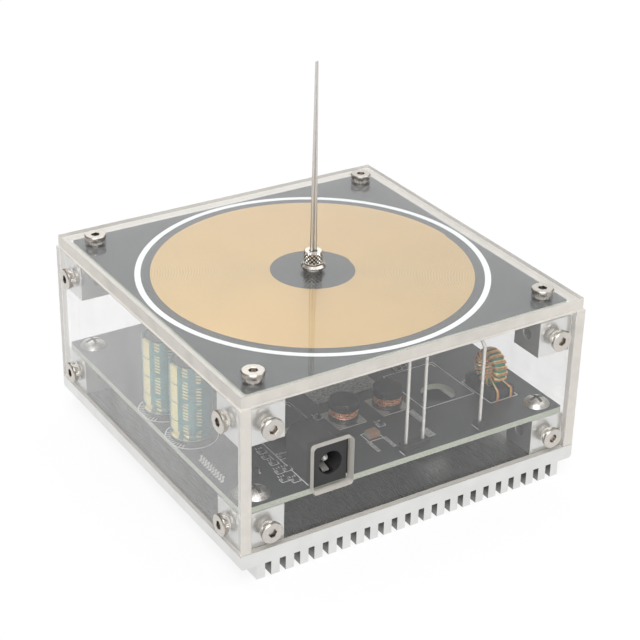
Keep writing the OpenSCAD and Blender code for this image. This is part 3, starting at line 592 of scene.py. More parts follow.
@dataclass(frozen=True)
class GoldTrack(Look):
    """Gold-plated track with a painted sheen: two brighter fans, fixed round the Z axis, where
    turned and wound surfaces would shine.
    """

    # colour: the gold inside the painted sheen; the other colour is the gold outside it
    colour: Colour = (0.79, 0.56, 0.265)
    off_sheen_colour: Colour = (0.67, 0.485, 0.23)
    roughness: float = 0.3
    metallic: float = 0.75
    sheen_turn: float = math.radians(245)
    sheen_share: float = 0.8
    off_sheen_roughening: float = 0.15
    cloud_share: float = 0.2
    cloud: float = 12 * MM

    def shader(self, sheet: Sheet) -> Signal:
        """Paints sheen as two opposite brighter fans, with faint clouds of random tone.

        Args:
            sheet: The material's nodes.

        Returns:
            The shader.
        """
        # Painted sheen: 1 in the two fans, 0 between them.
        sheen = (sheet.bearing() * 2 + self.sheen_turn).math("COSINE").ramp(-1.0, 1.0)
        clouds = sheet.noise(self.cloud, detail=2).ramp(*MIDDLE)
        bright = sheen * self.sheen_share + clouds * self.cloud_share
        return sheet.surface(sheet.mix(bright, self.off_sheen_colour, self.colour),
                             self.roughness + (1 - sheen) * self.off_sheen_roughening,
                             Metallic=self.metallic)


@dataclass(frozen=True)
class Ink(Look):
    """Screen-printed ink with slightly uneven cover."""

    colour: Colour
    worn: Colour
    grain: float = 0.25 * MM
    roughness: float = 0.5

    def shader(self, sheet: Sheet) -> Signal:
        """Thins the ink here and there.

        Args:
            sheet: The material's nodes.

        Returns:
            The shader.
        """
        cover = sheet.noise(self.grain, detail=4).ramp(0.3, 0.55)
        return sheet.surface(sheet.mix(cover, self.worn, self.colour), self.roughness)


@dataclass(frozen=True)
class Enamel(Look):
    """Enamelled copper wire with random patches of a brighter colour, which are painted highlights.
    """

    colour: Colour
    bright: Colour
    patch: float = 0.9 * MM
    roughness: float = 0.28
    metallic: float = 0.3
    coat: float = 0.8
    coat_roughness: float = 0.08

    def shader(self, sheet: Sheet) -> Signal:
        """Paints highlights as random brighter patches under the clear coat.

        Args:
            sheet: The material's nodes.

        Returns:
            The shader.
        """
        # Random patches of painted highlight.
        thin = sheet.noise(self.patch, detail=3).ramp(0.4, 0.65)
        return sheet.surface(sheet.mix(thin, self.colour, self.bright), self.roughness,
                             Metallic=self.metallic, Coat_Weight=self.coat,
                             Coat_Roughness=self.coat_roughness)


@dataclass(frozen=True)
class PrintedSleeve(Look):
    """Shrink sleeve with a dashed gold stripe; it reads the piece's own UV map."""

    colour: Colour = (0.006, 0.16, 0.155)
    gold: Colour = (0.86, 0.74, 0.36)
    low: float = 20.8 * MM
    height: float = 20.65 * MM
    stripe_share: float = 0.082
    dashes: float = 4.0
    dash_share: float = 0.06
    columns: tuple[float, ...] = (0.125, 0.225, 0.50, 0.605)
    column_share: float = 0.04
    bars: float = 24.0
    bar_slant: float = 12.0
    bar_share: float = 0.52
    groups: float = 3.4
    group_shift: float = 0.3
    group_share: float = 0.78
    wear: float = 0.25 * MM
    haze: float = 3 * MM
    roughness: float = 0.3
    gold_gloss: float = 0.05
    gold_metallic: float = 0.4
    coat: float = 0.5
    coat_roughness: float = 0.1

    def shader(self, sheet: Sheet) -> Signal:
        """Prints the stripe and the columns of bars on a hazy ground.

        Args:
            sheet: The material's nodes.

        Returns:
            The shader.
        """
        across = sheet.add("ShaderNodeSeparateXYZ", None, {0: sheet.add("ShaderNodeUVMap")},
                           out="X")
        up = (sheet.axis("Z") - self.low) / self.height
        gold = (across < self.stripe_share) * ((up * self.dashes).math("FRACT") > self.dash_share)
        bars = (up * self.bars + across * self.bar_slant).math("FRACT") < self.bar_share
        for k, start in enumerate(self.columns):
            column = (across > start) * (across < start + self.column_share)
            group = (up * self.groups + self.group_shift * k).math("FRACT") < self.group_share
            gold = gold + column * group * bars
        gold = gold * sheet.noise(self.wear).ramp(0.2, 0.45)
        ground = sheet.shades(sheet.noise(self.haze).ramp(*MIDDLE), self.colour, 0.8, 1.2)
        return sheet.surface(sheet.mix(gold, ground, self.gold),
                             self.roughness - gold * self.gold_gloss,
                             Metallic=gold * self.gold_metallic, Coat_Weight=self.coat,
                             Coat_Roughness=self.coat_roughness)


class Finish(Enum):
    """The finishes of the transformer's pieces."""

    HEAT_SINK = FinnedMetal("satin_aluminium")
    BLOCK = Metal("block_aluminium", (0.70, 0.682, 0.64), 0.3, 0.3 * MM, 0.015 * MM, 0.14,
                  3 * MM, 0.8)
    NICKEL = Metal("nickel_plate", (0.68, 0.64, 0.59), 0.26, 0.3 * MM, 0.006 * MM, 0.1, 1 * MM)
    SCREW = Metal("screw_plate", (0.64, 0.605, 0.56), 0.3, 0.3 * MM, 0.004 * MM, 0.08, 1 * MM)
    STEEL = Metal("needle_steel", (0.19, 0.155, 0.12), 0.12, 0.1 * MM, 0.004 * MM, 0.15,
                  lay=Lay.ALONG_Z)
    TIN = Metal("tin_plate", (0.80, 0.78, 0.74), 0.25, 0.4 * MM, 0.02 * MM, 0.15, 0.8 * MM, 0.55)
    INNER_SCREW = Metal("inner_screw_plate", (0.62, 0.61, 0.59), 0.3, 0.4 * MM, 0.01 * MM, 0.15,
                        1 * MM, 0.5)
    SOLDER = Metal("tinned_area", (0.60, 0.61, 0.60), 0.4, 0.45 * MM, 0.12 * MM, 0.6, 0.6 * MM, 0.3)
    # Near-white, barely metallic tin: a painted glint on the chip's pins, which lie in shade.
    PIN_GLINT = Metal("pin_tin_painted_glint", (0.90, 0.89, 0.86), 0.25, 0.4 * MM, 0.01 * MM, 0.08, 1 * MM, 0.15)
    # A darker plate for the sockets' insides: painted shade in the recess.
    RECESS_SHADE = Metal("recess_painted_shade", (0.22, 0.185, 0.15), 0.35, 0.3 * MM, 0.01 * MM, 0.4, 0.5 * MM)
    CROSS_HEAD = CrossHead("cross_recess_plate")
    KNURL = Knurled("knurled_plate", 14, 1.122 * MM, 52.0 * MM, 55.4 * MM)
    CAN = Metal("can_aluminium", (0.72, 0.72, 0.71), 0.36, 0.2 * MM)
    BRASS = Metal("bush_brass", (0.76, 0.58, 0.30), 0.3)
    GOLD = GoldTrack("gold_track")
    BLACK = Moulding("black_moulding", (0.018, 0.018, 0.018), 0.38)
    EPOXY = Moulding("chip_epoxy", (0.022, 0.022, 0.023), 0.55, 0.12 * MM, 0.012 * MM)
    FERRITE = Moulding("lacquered_ferrite", (0.02, 0.021, 0.023), 0.16, 0.5 * MM, 0.02 * MM,
                       coat=0.8)
    RUBBER = Moulding("seal_rubber", (0.05, 0.05, 0.05), 0.7)
    CERAMIC = Moulding("ceramic_brown", (0.36, 0.20, 0.12), 0.4, 0.2 * MM, fleck=(0.46, 0.28, 0.18))
    CORE = Moulding("green_core", (0.02, 0.13, 0.085), 0.35, 0.4 * MM, 0.02 * MM, coat=0.3)
    PAD = Moulding("insulating_pad", (0.36, 0.40, 0.43), 0.6)
    COIL_BOARD = Laminate("coil_laminate", (0.045, 0.05, 0.052))
    DRIVER_BOARD = Laminate("driver_laminate", (0.040, 0.045, 0.047), roughness=0.38)
    WHITE_INK = Ink("white_ink", (0.95, 0.96, 0.95), (0.74, 0.76, 0.76))
    RING_INK = Ink("ring_ink", (0.92, 0.95, 0.97), (0.80, 0.83, 0.85))
    # Copper's dark colour is painted shade of the gaps between turns, and its bright colour painted
    # highlight.
    COPPER = Enamel("copper_enamel", (0.55, 0.10, 0.025), (1.0, 0.66, 0.35), 0.4 * MM)
    AMBER = Enamel("amber_enamel", (0.90, 0.50, 0.13), (1.0, 0.82, 0.42))
    RED = Enamel("red_enamel", (0.66, 0.21, 0.07), (0.94, 0.47, 0.24))
    SLEEVE = PrintedSleeve("capacitor_sleeve")
    FRONT_BACK = Acrylic("acrylic_front_back", "Y")
    SIDES = Acrylic("acrylic_sides", "X", veil=0.12)
    LID = Acrylic("acrylic_lid", "Z", veil=0.006, stain_top=0.0)

    def material(self) -> bpy.types.Material:
        """The finish as a material."""
        return self.value.material()


@dataclass(frozen=True)
class Box:
    """Lowest and highest corner of something, in metres."""

    low: Vector
    high: Vector

    @property
    def middle(self) -> Vector:
        """The box's middle."""
        return (self.low + self.high) / 2

    @property
    def foot(self) -> Vector:
        """The middle of the box's underside."""
        return Vector((self.middle.x, self.middle.y, self.low.z))

    @property
    def size(self) -> Vector:
        """The box's size along X, Y and Z."""
        return self.high - self.low


def box_of(node: str) -> Box:
    """The box of a whole node."""
    return Box(*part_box(node))


def solids(node: str) -> list[Box]:
    """The boxes of a node's separate solids, in a steady order.

    Args:
        node: The node's name.

    Returns:
        One box for each solid, sorted by X, then Y, then Z.
    """
    mesh = bmesh.new()
    mesh.from_mesh(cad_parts[node].data)
    bmesh.ops.remove_doubles(mesh, verts=mesh.verts, dist=WELD)
    waiting = set(mesh.verts)
    boxes = []
    while waiting:
        front = [waiting.pop()]
        group = []
        while front:
            vert = front.pop()
            group.append(vert.co.copy())
            near = {edge.other_vert(vert) for edge in vert.link_edges} & waiting
            waiting -= near
            front.extend(near)
        corners = [[pick(p[k] for p in group) for k in range(3)] for pick in (min, max)]
        boxes.append(Box(Vector(corners[0]), Vector(corners[1])))
    mesh.free()
    return sorted(boxes, key=lambda b: [round(c, 5) for c in b.middle])


def angles_round(count: int, start: float = 0.0) -> list[float]:
    """Evenly spaced angles of one full turn, in radians."""
    return [start + 2 * math.pi * k / count for k in range(count)]


def polar(radius: float, angle: float, height: float = 0.0) -> Vector:
    """A point at a radius and an angle round the Z axis."""
    return Vector((radius * math.cos(angle), radius * math.sin(angle), height))


class Shape:
    """Faces gathered for one piece, in metres in the frame of the part."""

    def __init__(self) -> None:
        """Starts with no faces."""
        self.mesh = bmesh.new()
        self.uv = self.mesh.loops.layers.uv.new("UVMap")

    def grid(self, rows: Sequence[Sequence[Vector]], ends: bool = False) -> None:
        """Joins closed rows of points with faces.

        Args:
            rows: The rows, of one length.
            ends: Whether the first and last rows are filled.
        """
        made = [[self.mesh.verts.new(p) for p in row] for row in rows]
        count = len(rows[0])
        for i in range(len(rows) - 1):
            for k in range(count):
                n = (k + 1) % count
                face = self.mesh.faces.new((made[i][k], made[i][n], made[i + 1][n], made[i + 1][k]))
                marks = ((k, i), (k + 1, i), (k + 1, i + 1), (k, i + 1))
                for loop, (u, v) in zip(face.loops, marks):
                    loop[self.uv].uv = (u / count, v / (len(rows) - 1))
        if ends:
            self.mesh.faces.new(list(reversed(made[0])))
            self.mesh.faces.new(made[-1])

    def lathe(self, profile: Sequence[tuple[float, float]], segments: int,
              centre: Vector = ORIGIN, turn: float = 0.0) -> None:
        """Turns a profile of radius and height round an upright axis.

        Args:
            profile: Radius and height pairs, from the lower inside round the outside.
            segments: The number of sides.
            centre: The axis, and the height that the profile's heights count from.
            turn: The angle of the first side, in radians.
        """
        self.grid([[centre + polar(radius, angle, height) for angle in angles_round(segments, turn)]
                   for radius, height in profile])

    def ring(self, centre: Vector, inner: float, width: float, height: float,
             segments: int) -> None:
        """Adds a flat ring.

        Args:
            centre: The middle of its underside.
            inner: Its inner radius.
            width: Its width.
            height: Its thickness.
            segments: The number of sides.
        """
        outer = inner + width
        self.lathe([(inner, 0), (outer, 0), (outer, height), (inner, height), (inner, 0)], segments,
                   centre)

    def prism(self, outline: Sequence[Vector], low: float, high: float) -> None:
        """Raises a plan outline, given anticlockwise, from low to high."""
        self.grid([[Vector((p.x, p.y, z)) for p in outline] for z in (low, high)], ends=True)

    def tube(self, path: Sequence[Vector], radius: float, sides: int) -> None:
        """Sweeps a round wire along a path.

        Args:
            path: The points that it follows.
            radius: Its radius.
            sides: Its number of sides.
        """
        last = len(path) - 1
        along = [(path[min(i + 1, last)] - path[max(i - 1, 0)]).normalized()
                 for i in range(last + 1)]
        out = along[0].orthogonal().normalized()
        rows = []
        for i, point in enumerate(path):
            out = (out - along[i] * out.dot(along[i])).normalized()
            side = along[i].cross(out)
            rows.append([point + radius * (math.cos(a) * out + math.sin(a) * side)
                         for a in angles_round(sides)])
        self.grid(rows, ends=True)

    def plain(self, name: str, weld: bool = True) -> bpy.types.Mesh:
        """Turns the gathered faces outwards and hands them over as a plain mesh.

        Args:
            name: The mesh's name.
            weld: Whether points that lie together are merged.

        Returns:
            The mesh.
        """
        if weld:
            bmesh.ops.remove_doubles(self.mesh, verts=self.mesh.verts, dist=WELD)
        bmesh.ops.recalc_face_normals(self.mesh, faces=self.mesh.faces)
        data = bpy.data.meshes.new(name)
        self.mesh.to_mesh(data)
        self.mesh.free()
        return data

    def piece(self, name: str, finish: Finish, body: str = CASE, replaces: Iterable[str] = (),
              crease: float = 35.0, weld: bool = True, flats: bool = False) -> None:
        """Finishes the mesh as a piece that rides on a body.

        Args:
            name: The piece's name.
            finish: Its finish.
            body: The body that carries it.
            replaces: The CAD nodes that it stands for.
            crease: The angle in degrees past which an edge stays sharp.
            weld: Whether points that lie together are merged.
            flats: Whether large flats are kept flat beside their rounded edges.
        """
        settle(self.plain(name, weld), name, finish, body, replaces, crease, flats)


def placed(name: str, data: bpy.types.ID) -> bpy.types.Object:
    """Makes an object of the scene, at the origin.

    Args:
        name: Its name.
        data: Its mesh, lamp or camera.

    Returns:
        The object.
    """
    made = bpy.data.objects.new(name, data)
    bpy.context.scene.collection.objects.link(made)
    return made


def settle(data: bpy.types.Mesh, name: str, finish: Finish, body: str, replaces: Iterable[str],
           crease: float = 35.0, flats: bool = False) -> None:
    """Makes a mesh a dressed object on a body, and logs it.

    Args:
        data: The mesh.
        name: The piece's name.
        finish: Its finish.
        body: The body that carries it.
        replaces: The CAD nodes that it stands for.
        crease: The angle in degrees past which an edge stays sharp.
        flats: Whether large flats are kept flat beside their rounded edges.
    """
    piece = placed(name, data)
    data.materials.clear()
    data.materials.append(finish.material())
    data.shade_smooth()
    data.set_sharp_from_angle(angle=math.radians(crease))
    if flats:
        piece.modifiers.new("flats", "WEIGHTED_NORMAL").keep_sharp = True
    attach(piece, body)
    if replaces:
        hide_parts(*replaces)
    LOG.info("%s: %d faces on %s", name, len(data.polygons), body)


def dress(finish: Finish, *nodes: str) -> None:
    """Gives CAD nodes their finish.

    Args:
        finish: The finish.
        *nodes: The nodes' names.
    """
    for node in nodes:
        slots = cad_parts[node].data.materials
        slots.clear()
        slots.append(finish.material())
        LOG.info("%s: %s", node, finish.value.name)


def merged(node: str) -> Shape:
    """Copies a CAD node, with its loose triangles joined to whole faces.

    Args:
        node: The node's name.

    Returns:
        The copy.
    """
    shape = Shape()
    mesh = shape.mesh
    mesh.from_mesh(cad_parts[node].data)
    bmesh.ops.remove_doubles(mesh, verts=mesh.verts, dist=WELD)
    bmesh.ops.dissolve_limit(mesh, angle_limit=math.radians(1), verts=mesh.verts, edges=mesh.edges)
    return shape


def softened(node: str, name: str, finish: Finish, radius: float, inset: float = 0.0) -> None:
    """Copies a CAD node with its sharp edges rounded, and lets the copy stand for it.

    Args:
        node: The node.
        name: The new piece's name.
        finish: Its finish.
        radius: The rounding, in metres.
        inset: How far the corners are drawn in, so that touching faces part.
    """
    shape = merged(node)
    mesh = shape.mesh
    mesh.normal_update()
    for vert, normal in [(v, v.normal.copy()) for v in mesh.verts]:
        vert.co -= normal * inset
    sharp = [e for e in mesh.edges if e.is_manifold and e.calc_face_angle() > math.radians(40)]
    bmesh.ops.bevel(mesh, geom=sharp, offset=radius, segments=2, profile=0.5, affect="EDGES",
                    clamp_overlap=True)
    shape.piece(name, finish, replaces=(node,), crease=50.0, weld=False, flats=True)


class Layout(Tree):
    """A Geometry Nodes tree with named inputs that ends as one plain mesh."""

    def __init__(self, name: str, **inputs: str) -> None:
        """Starts a tree.

        Args:
            name: The tree's name.
            **inputs: The type of each named input, such as NodeSocketFloat.
        """
        group = bpy.data.node_groups.new(name, "GeometryNodeTree")
        super().__init__(group)
        group.interface.new_socket("Geometry", in_out="INPUT", socket_type="NodeSocketGeometry")
        self.sockets = {key: group.interface.new_socket(key, in_out="INPUT", socket_type=kind)
                        for key, kind in inputs.items()}
        group.interface.new_socket("Geometry", in_out="OUTPUT", socket_type="NodeSocketGeometry")
        self.entry = group.nodes.new("NodeGroupInput")

    def given(self, name: str) -> Signal:
        """The socket of a named input."""
        return Signal(self, self.entry.outputs[name])

    def close(self, geometry: Signal) -> None:
        """Ends the tree in Realize Instances and Set Material."""
        real = self.add("GeometryNodeRealizeInstances", None, {"Geometry": geometry})
        self.end("NodeGroupOutput", self.add("GeometryNodeSetMaterial", None, {
            "Geometry": real, "Material": self.given("Material")}))

    def run(self, seed: bpy.types.Mesh, **values) -> bpy.types.Mesh:
        """Runs the tree on a mesh.

        Args:
            seed: The mesh that goes in.
            **values: The named inputs' values.

        Returns:
            The plain mesh that comes out.
        """
        carrier = placed("carrier", seed)
        modifier = carrier.modifiers.new("layout", "NODES")
        modifier.node_group = self.tree
        for key, value in values.items():
            modifier[self.sockets[key].identifier] = value
        bpy.context.view_layer.update()
        evaluated = carrier.evaluated_get(bpy.context.evaluated_depsgraph_get())
        result = bpy.data.meshes.new_from_object(evaluated)
        carrier.modifiers.clear()
        bpy.data.objects.remove(carrier)
        return result


def spiral_layout() -> Layout:
    """Builds the tree of a flat spiral track of rectangular section.

    Returns:
        The tree, with the track's sizes as its inputs.
    """
    sizes = dict.fromkeys(("Inner", "Outer", "Turns", "Width", "Thickness", "Level"),
                          "NodeSocketFloat")
    layout = Layout("spiral_track", **sizes, Steps="NodeSocketInt", Material="NodeSocketMaterial")
    spiral = layout.add("GeometryNodeCurveSpiral", None, {
        "Resolution": layout.given("Steps"), "Rotations": layout.given("Turns"),
        "Start Radius": layout.given("Inner"), "End Radius": layout.given("Outer"), "Height": 0.0})
    upright = layout.add("GeometryNodeSetCurveNormal", {"mode": "Z_UP"}, {"Curve": spiral})
    section = layout.add("GeometryNodeCurvePrimitiveQuadrilateral", None, {
        "Width": layout.given("Width"), "Height": layout.given("Thickness")})
    track = layout.add("GeometryNodeCurveToMesh", None,
                       {"Curve": upright, "Profile Curve": section, "Fill Caps": True})
    rise = layout.add("ShaderNodeCombineXYZ", None, {"Z": layout.given("Level")})
    layout.close(layout.add("GeometryNodeTransform", None,
                            {"Geometry": track, "Translation": rise}))
    return layout


def copies_layout() -> Layout:
    """Builds the tree that sets copies of an object at a seed mesh's points.

    Returns:
        The tree, which turns each copy by its point's attribute.
    """
    layout = Layout("copies_at_places", Part="NodeSocketObject", Material="NodeSocketMaterial")
    part = layout.add("GeometryNodeObjectInfo", None, {"Object": layout.given("Part")},
                      out="Geometry")
    turn = layout.add("GeometryNodeInputNamedAttribute", {"data_type": "FLOAT_VECTOR"},
                      {"Name": "turn"})
    layout.close(layout.add("GeometryNodeInstanceOnPoints", None, {
        "Points": layout.given("Geometry"), "Instance": part, "Rotation": turn}))
    return layout


@dataclass(frozen=True)
class Place:
    """Where a copy stands, and the direction that its own Z axis takes."""

    point: Vector
    up: Vector
    spin: float = 0.0

    def turn(self) -> Vector:
        """The copy's rotation as Euler angles."""
        upright = self.up.to_track_quat("Z", "Y").to_matrix()
        return Vector((upright @ Matrix.Rotation(self.spin, 3, "Z")).to_euler("XYZ"))


def copies(shape: Shape, places: Sequence[Place], name: str, finish: Finish,
           replaces: Iterable[str] = ()) -> None:
    """Sets copies of a shape at places with Geometry Nodes, as one piece on the case.

    Args:
        shape: One copy, round the origin.
        places: Where the copies stand.
        name: The piece's name.
        finish: Its finish.
        replaces: The CAD nodes that they stand for.
    """
    part = bpy.data.objects.new(name + "_one", shape.plain(name + "_one"))
    seed = bpy.data.meshes.new(name + "_places")
    seed.from_pydata([place.point for place in places], [], [])
    turns = seed.attributes.new("turn", "FLOAT_VECTOR", "POINT")
    for k, place in enumerate(places):
        turns.data[k].vector = place.turn()
    result = copies_layout().run(seed, Part=part, Material=finish.material())
    bpy.data.objects.remove(part)
    settle(result, name, finish, CASE, replaces)


@dataclass
class SocketScrews:
    """Low-head hex-socket screws with rolled threads, which stand for a CAD node."""

    node: str
    name: str
    outward: Callable[[Box], Vector]
    head_r: float = 2.85 * MM
    head_h: float = 1.5 * MM
    disc_h: float = 0.75 * MM
    disc_edge: float = 0.1 * MM
    chamfer: float = 0.2 * MM
    neck_r: float = 2.66 * MM
    rib: float = 0.12 * MM
    flats: float = 2.0 * MM
    rim: float = 0.35 * MM
    lip: float = 0.12 * MM
    lip_h: float = 0.1 * MM
    depth: float = 1.2 * MM
    drill_r: float = 0.05 * MM
    drill_dip: float = 0.2 * MM
    shank_r: float = 1.5 * MM
    thread_depth: float = 0.14 * MM
    thread_pitch: float = 0.5 * MM
    point_r: float = 0.01 * MM
    first_spin: float = 0.4
    next_spin: float = 0.7
    sides: int = 36

    def _hexagon(self, angle: float) -> float:
        """The radius of the socket's edge at an angle."""
        return self.flats / 2 / math.cos((angle % (math.pi / 3)) - math.pi / 6)

    def _hexagon_row(self, wider: float, height: float) -> list[Vector]:
        """The socket's outline at a height, a little wider where asked."""
        return [polar(self._hexagon(a) + wider, a, height) for a in angles_round(self.sides)]

    def _recess(self) -> Shape:
        """Builds the inside of the socket, which gets a darker finish as painted shade.

        Returns:
            Its walls and floor, for a head above the origin.
        """
        shape = Shape()
        floor = self.head_h - self.depth
        shape.grid([self._hexagon_row(0.0, height) for height in (self.head_h - self.lip_h, floor)])
        shape.lathe([(self.drill_r, floor - self.drill_dip), (self.flats / 2, floor)], self.sides)
        return shape

    def _one(self, length: float) -> Shape:
        """Builds one screw whose head sits above the origin.

        Args:
            length: The length of its shank.

        Returns:
            The screw, without the inside of its socket.
        """
        shape = Shape()
        disc = self.head_h - self.disc_h
        rim = self.flats / 2 + self.rim
        shape.grid([[polar(self.neck_r - self.rib * (k % 2), angle, height)
                     for k, angle in enumerate(angles_round(2 * self.sides))]
                    for height in (0.0, disc)], ends=True)
        shape.lathe([(self.shank_r, disc), (self.head_r - self.disc_edge, disc),
                     (self.head_r, disc + self.disc_edge),
                     (self.head_r, self.head_h - self.chamfer),
                     (self.head_r - self.chamfer, self.head_h), (rim, self.head_h)], self.sides)
        shape.grid([[polar(rim, angle, self.head_h) for angle in angles_round(self.sides)],
                    self._hexagon_row(self.lip, self.head_h),
                    self._hexagon_row(0.0, self.head_h - self.lip_h)])
        thread = []
        height = 0.0
        while height > self.thread_pitch - length:
            thread += [(self.shank_r, height),
                       (self.shank_r - self.thread_depth, height - self.thread_pitch / 2)]
            height -= self.thread_pitch
        tip = [(self.point_r, -length), (self.shank_r - 2 * self.thread_depth, -length)]
        shape.lathe([*tip, *reversed(thread)], self.sides)
        return shape

    def build(self) -> None:
        """Sets a screw at each place of the node."""
        boxes = solids(self.node)
        places = []
        for box in boxes:
            up = self.outward(box)
            top = box.middle + up * (max(box.size) / 2 - self.head_h)
            places.append(Place(top, up, self.first_spin + self.next_spin * len(places)))
        screw = self._one(max(boxes[0].size) - self.head_h)
        copies(screw, places, self.name, Finish.SCREW, (self.node,))
        # The sockets' insides take the darker finish, which is painted shade.
        copies(self._recess(), places, self.name + "_recesses", Finish.RECESS_SHADE)


def away_from_axis(box: Box) -> Vector:
    """Finds the direction of a panel screw, out of the wall that it is in.

    Args:
        box: The screw's box.

    Returns:
        The direction.
    """
    axis = max(range(3), key=lambda k: box.size[k])
    direction = Vector()
    direction[axis] = math.copysign(1.0, box.middle[axis])
    return direction


@dataclass
class HeatSink:
    """The finned extrusion and the screws that go up into the blocks."""

    edge_r: float = 0.12 * MM

    def build(self) -> None:
        """Builds and dresses the heat sink."""
        softened("heat_sink", "finned_heat_sink", Finish.HEAT_SINK, self.edge_r)
        SocketScrews("base_screws", "base_socket_screws", lambda box: -UP).build()


@dataclass
class Case:
    """Clear panels, their cube blocks and screws."""

    panel_edge: float = 0.12 * MM
    block_edge: float = 0.15 * MM
    inset: float = 0.05 * MM

    def build(self) -> None:
        """Builds and dresses the case."""
        for node, finish in (("front_panel", Finish.FRONT_BACK), ("back_panel", Finish.FRONT_BACK),
                             ("left_panel", Finish.SIDES), ("right_panel", Finish.SIDES),
                             ("lid_panel", Finish.LID)):
            softened(node, "clear_" + node, finish, self.panel_edge, self.inset)
        for level in ("lower", "upper"):
            softened(f"{level}_corner_blocks", f"{level}_cube_blocks", Finish.BLOCK,
                     self.block_edge, self.inset)
        SocketScrews("panel_screws", "panel_socket_screws", away_from_axis).build()
        SocketScrews("lid_screws", "lid_socket_screws", lambda box: UP).build()


@dataclass
class CoilBoard:
    """The board under the lid: spiral track, printed ring and primary track."""

    edge_r: float = 0.08 * MM
    turns: float = 78.0
    track_share: float = 0.8
    steps: int = 90
    primary_turns: float = 3.0
    primary_share: float = 0.85
    primary_steps: int = 120
    ring_inner: float = 44.5 * MM
    ring_width: float = 1.57 * MM
    ink: float = 0.04 * MM
    foil: float = 0.05 * MM
    sides: int = 180

    def _spiral(self, node: str, name: str, turns: float, share: float, steps: int) -> None:
        """Winds a track in the ring of a CAD node.

        Args:
            node: The node.
            name: The new piece's name.
            turns: The number of turns.
            share: The track's width as a share of its pitch.
            steps: The number of points in a turn.
        """
        inner, outer = self.radii(node)
        pitch = (outer - inner) / (turns + share)
        width = share * pitch
        mesh = spiral_layout().run(
            bpy.data.meshes.new(name + "_seed"), Inner=inner + width / 2, Outer=outer - width / 2,
            Turns=turns, Width=width, Thickness=self.foil, Level=self._level(box_of(node)),
            Steps=steps, Material=Finish.GOLD.material())
        settle(mesh, name, Finish.GOLD, CASE, (node,))

    def _level(self, track: Box) -> float:
        """Finds the middle of the foil on the face of the board where a track lies.

        Args:
            track: The track's box.

        Returns:
            The height.
        """
        board = box_of("coil_board")
        above = track.middle.z > board.middle.z
        return board.high.z + self.foil / 2 if above else board.low.z - self.foil / 2

    @staticmethod
    def radii(node: str) -> tuple[float, float]:
        """The inner and outer radius of a ring-shaped node."""
        lengths = [v.co.xy.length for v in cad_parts[node].data.vertices]
        return min(lengths), max(lengths)

    def build(self) -> None:
        """Builds and dresses the coil board."""
        softened("coil_board", "coil_board_laminate", Finish.COIL_BOARD, self.edge_r)
        self._spiral("coil_track", "spiral_coil_track", self.turns, self.track_share, self.steps)
        self._spiral("primary_track", "primary_coil_track", self.primary_turns, self.primary_share,
                     self.primary_steps)
        shape = Shape()
        shape.ring(UP * box_of("coil_board").high.z, self.ring_inner, self.ring_width, self.ink,
                   self.sides)
        shape.piece("printed_ring", Finish.RING_INK)
        dress(Finish.TIN, "solder_beads")


@dataclass
class Terminal:
    """Stud, flange, bush, knurled collar and the two needles."""

    bore: float = 1.1 * MM
    bevel: float = 0.3 * MM
    knurls: int = 14
    knurl_depth: float = 0.22 * MM
    knurl_from: float = 0.75
    knurl_sides: int = 12
    rows: int = 34
    flange_chamfer: float = 0.06 * MM
    flange_edge: float = 0.25 * MM
    flange_slope: float = 0.65 * MM
    flange_sides: int = 72
    crease: float = 25.0

    def _groove(self, angle: float, twist: float) -> float:
        """How deep the knurl is cut at an angle, from 0 to 1, in its two crossed sets."""
        line = max(abs(math.cos((self.knurls * angle + way * twist) / 2)) for way in (1, -1))
        return max(0.0, (line - self.knurl_from) / (1 - self.knurl_from))

    def _knurled_collar(self) -> None:
        """Builds the collar with a diamond knurl, round its bore."""
        box = box_of("knurled_collar")
        radius, height = box.size.x / 2, box.size.z
        step = (height - 2 * self.bevel) / self.rows
        profile = [(self.bore, 0.0, 0.0), (radius - self.bevel, 0.0, 0.0)]
        profile += [(radius, self.bevel + step * i, 1.0) for i in range(self.rows + 1)]
        profile += [(radius - self.bevel, height, 0.0), (self.bore, height, 0.0),
                    (self.bore, 0.0, 0.0)]
        rows = []
        for reach, z, cut in profile:
            twist = z / radius * self.knurls
            depth = cut * self.knurl_depth
            rows.append([box.foot + polar(reach - depth * self._groove(a, twist), a, z)
                         for a in angles_round(self.knurls * self.knurl_sides)])
        shape = Shape()
        shape.grid(rows)
        shape.piece("diamond_knurled_collar", Finish.KNURL, TERMINAL, ("knurled_collar",),
                    self.crease)

    def _flange(self) -> None:
        """Builds the flange with its sloped upper rim."""
        box = box_of("terminal_flange")
        inner, outer = CoilBoard.radii("terminal_flange")
        top, edge = box.size.z, self.flange_chamfer
        shape = Shape()
        shape.lathe([(inner, 0), (outer - edge, 0), (outer, edge), (outer, self.flange_edge),
                     (outer - self.flange_slope, top), (inner, top), (inner, 0)],
                    self.flange_sides, box.foot)
        shape.piece("terminal_flange_ring", Finish.NICKEL, replaces=("terminal_flange",),
                    crease=self.crease)

    def build(self) -> None:
        """Builds and dresses the terminal."""
        self._knurled_collar()
        self._flange()
        dress(Finish.NICKEL, "terminal_stud")
        dress(Finish.STEEL, "discharge_needles")
        dress(Finish.BRASS, "thread_bush")


@dataclass(frozen=True)
class Stroke:
    """A printed line between two points of the driver board, in millimetres."""

    x0: float
    y0: float
    x1: float
    y1: float
    width: float = 0.28

    def outline(self) -> list[Vector]:
        """Widens the line.

        Returns:
            The corners of its outline, anticlockwise and in metres.
        """
        start, end = Vector((self.x0, self.y0)) * MM, Vector((self.x1, self.y1)) * MM
        side = (end - start).normalized().orthogonal() * self.width * MM / 2
        return [end + side, end - side, start - side, start + side]


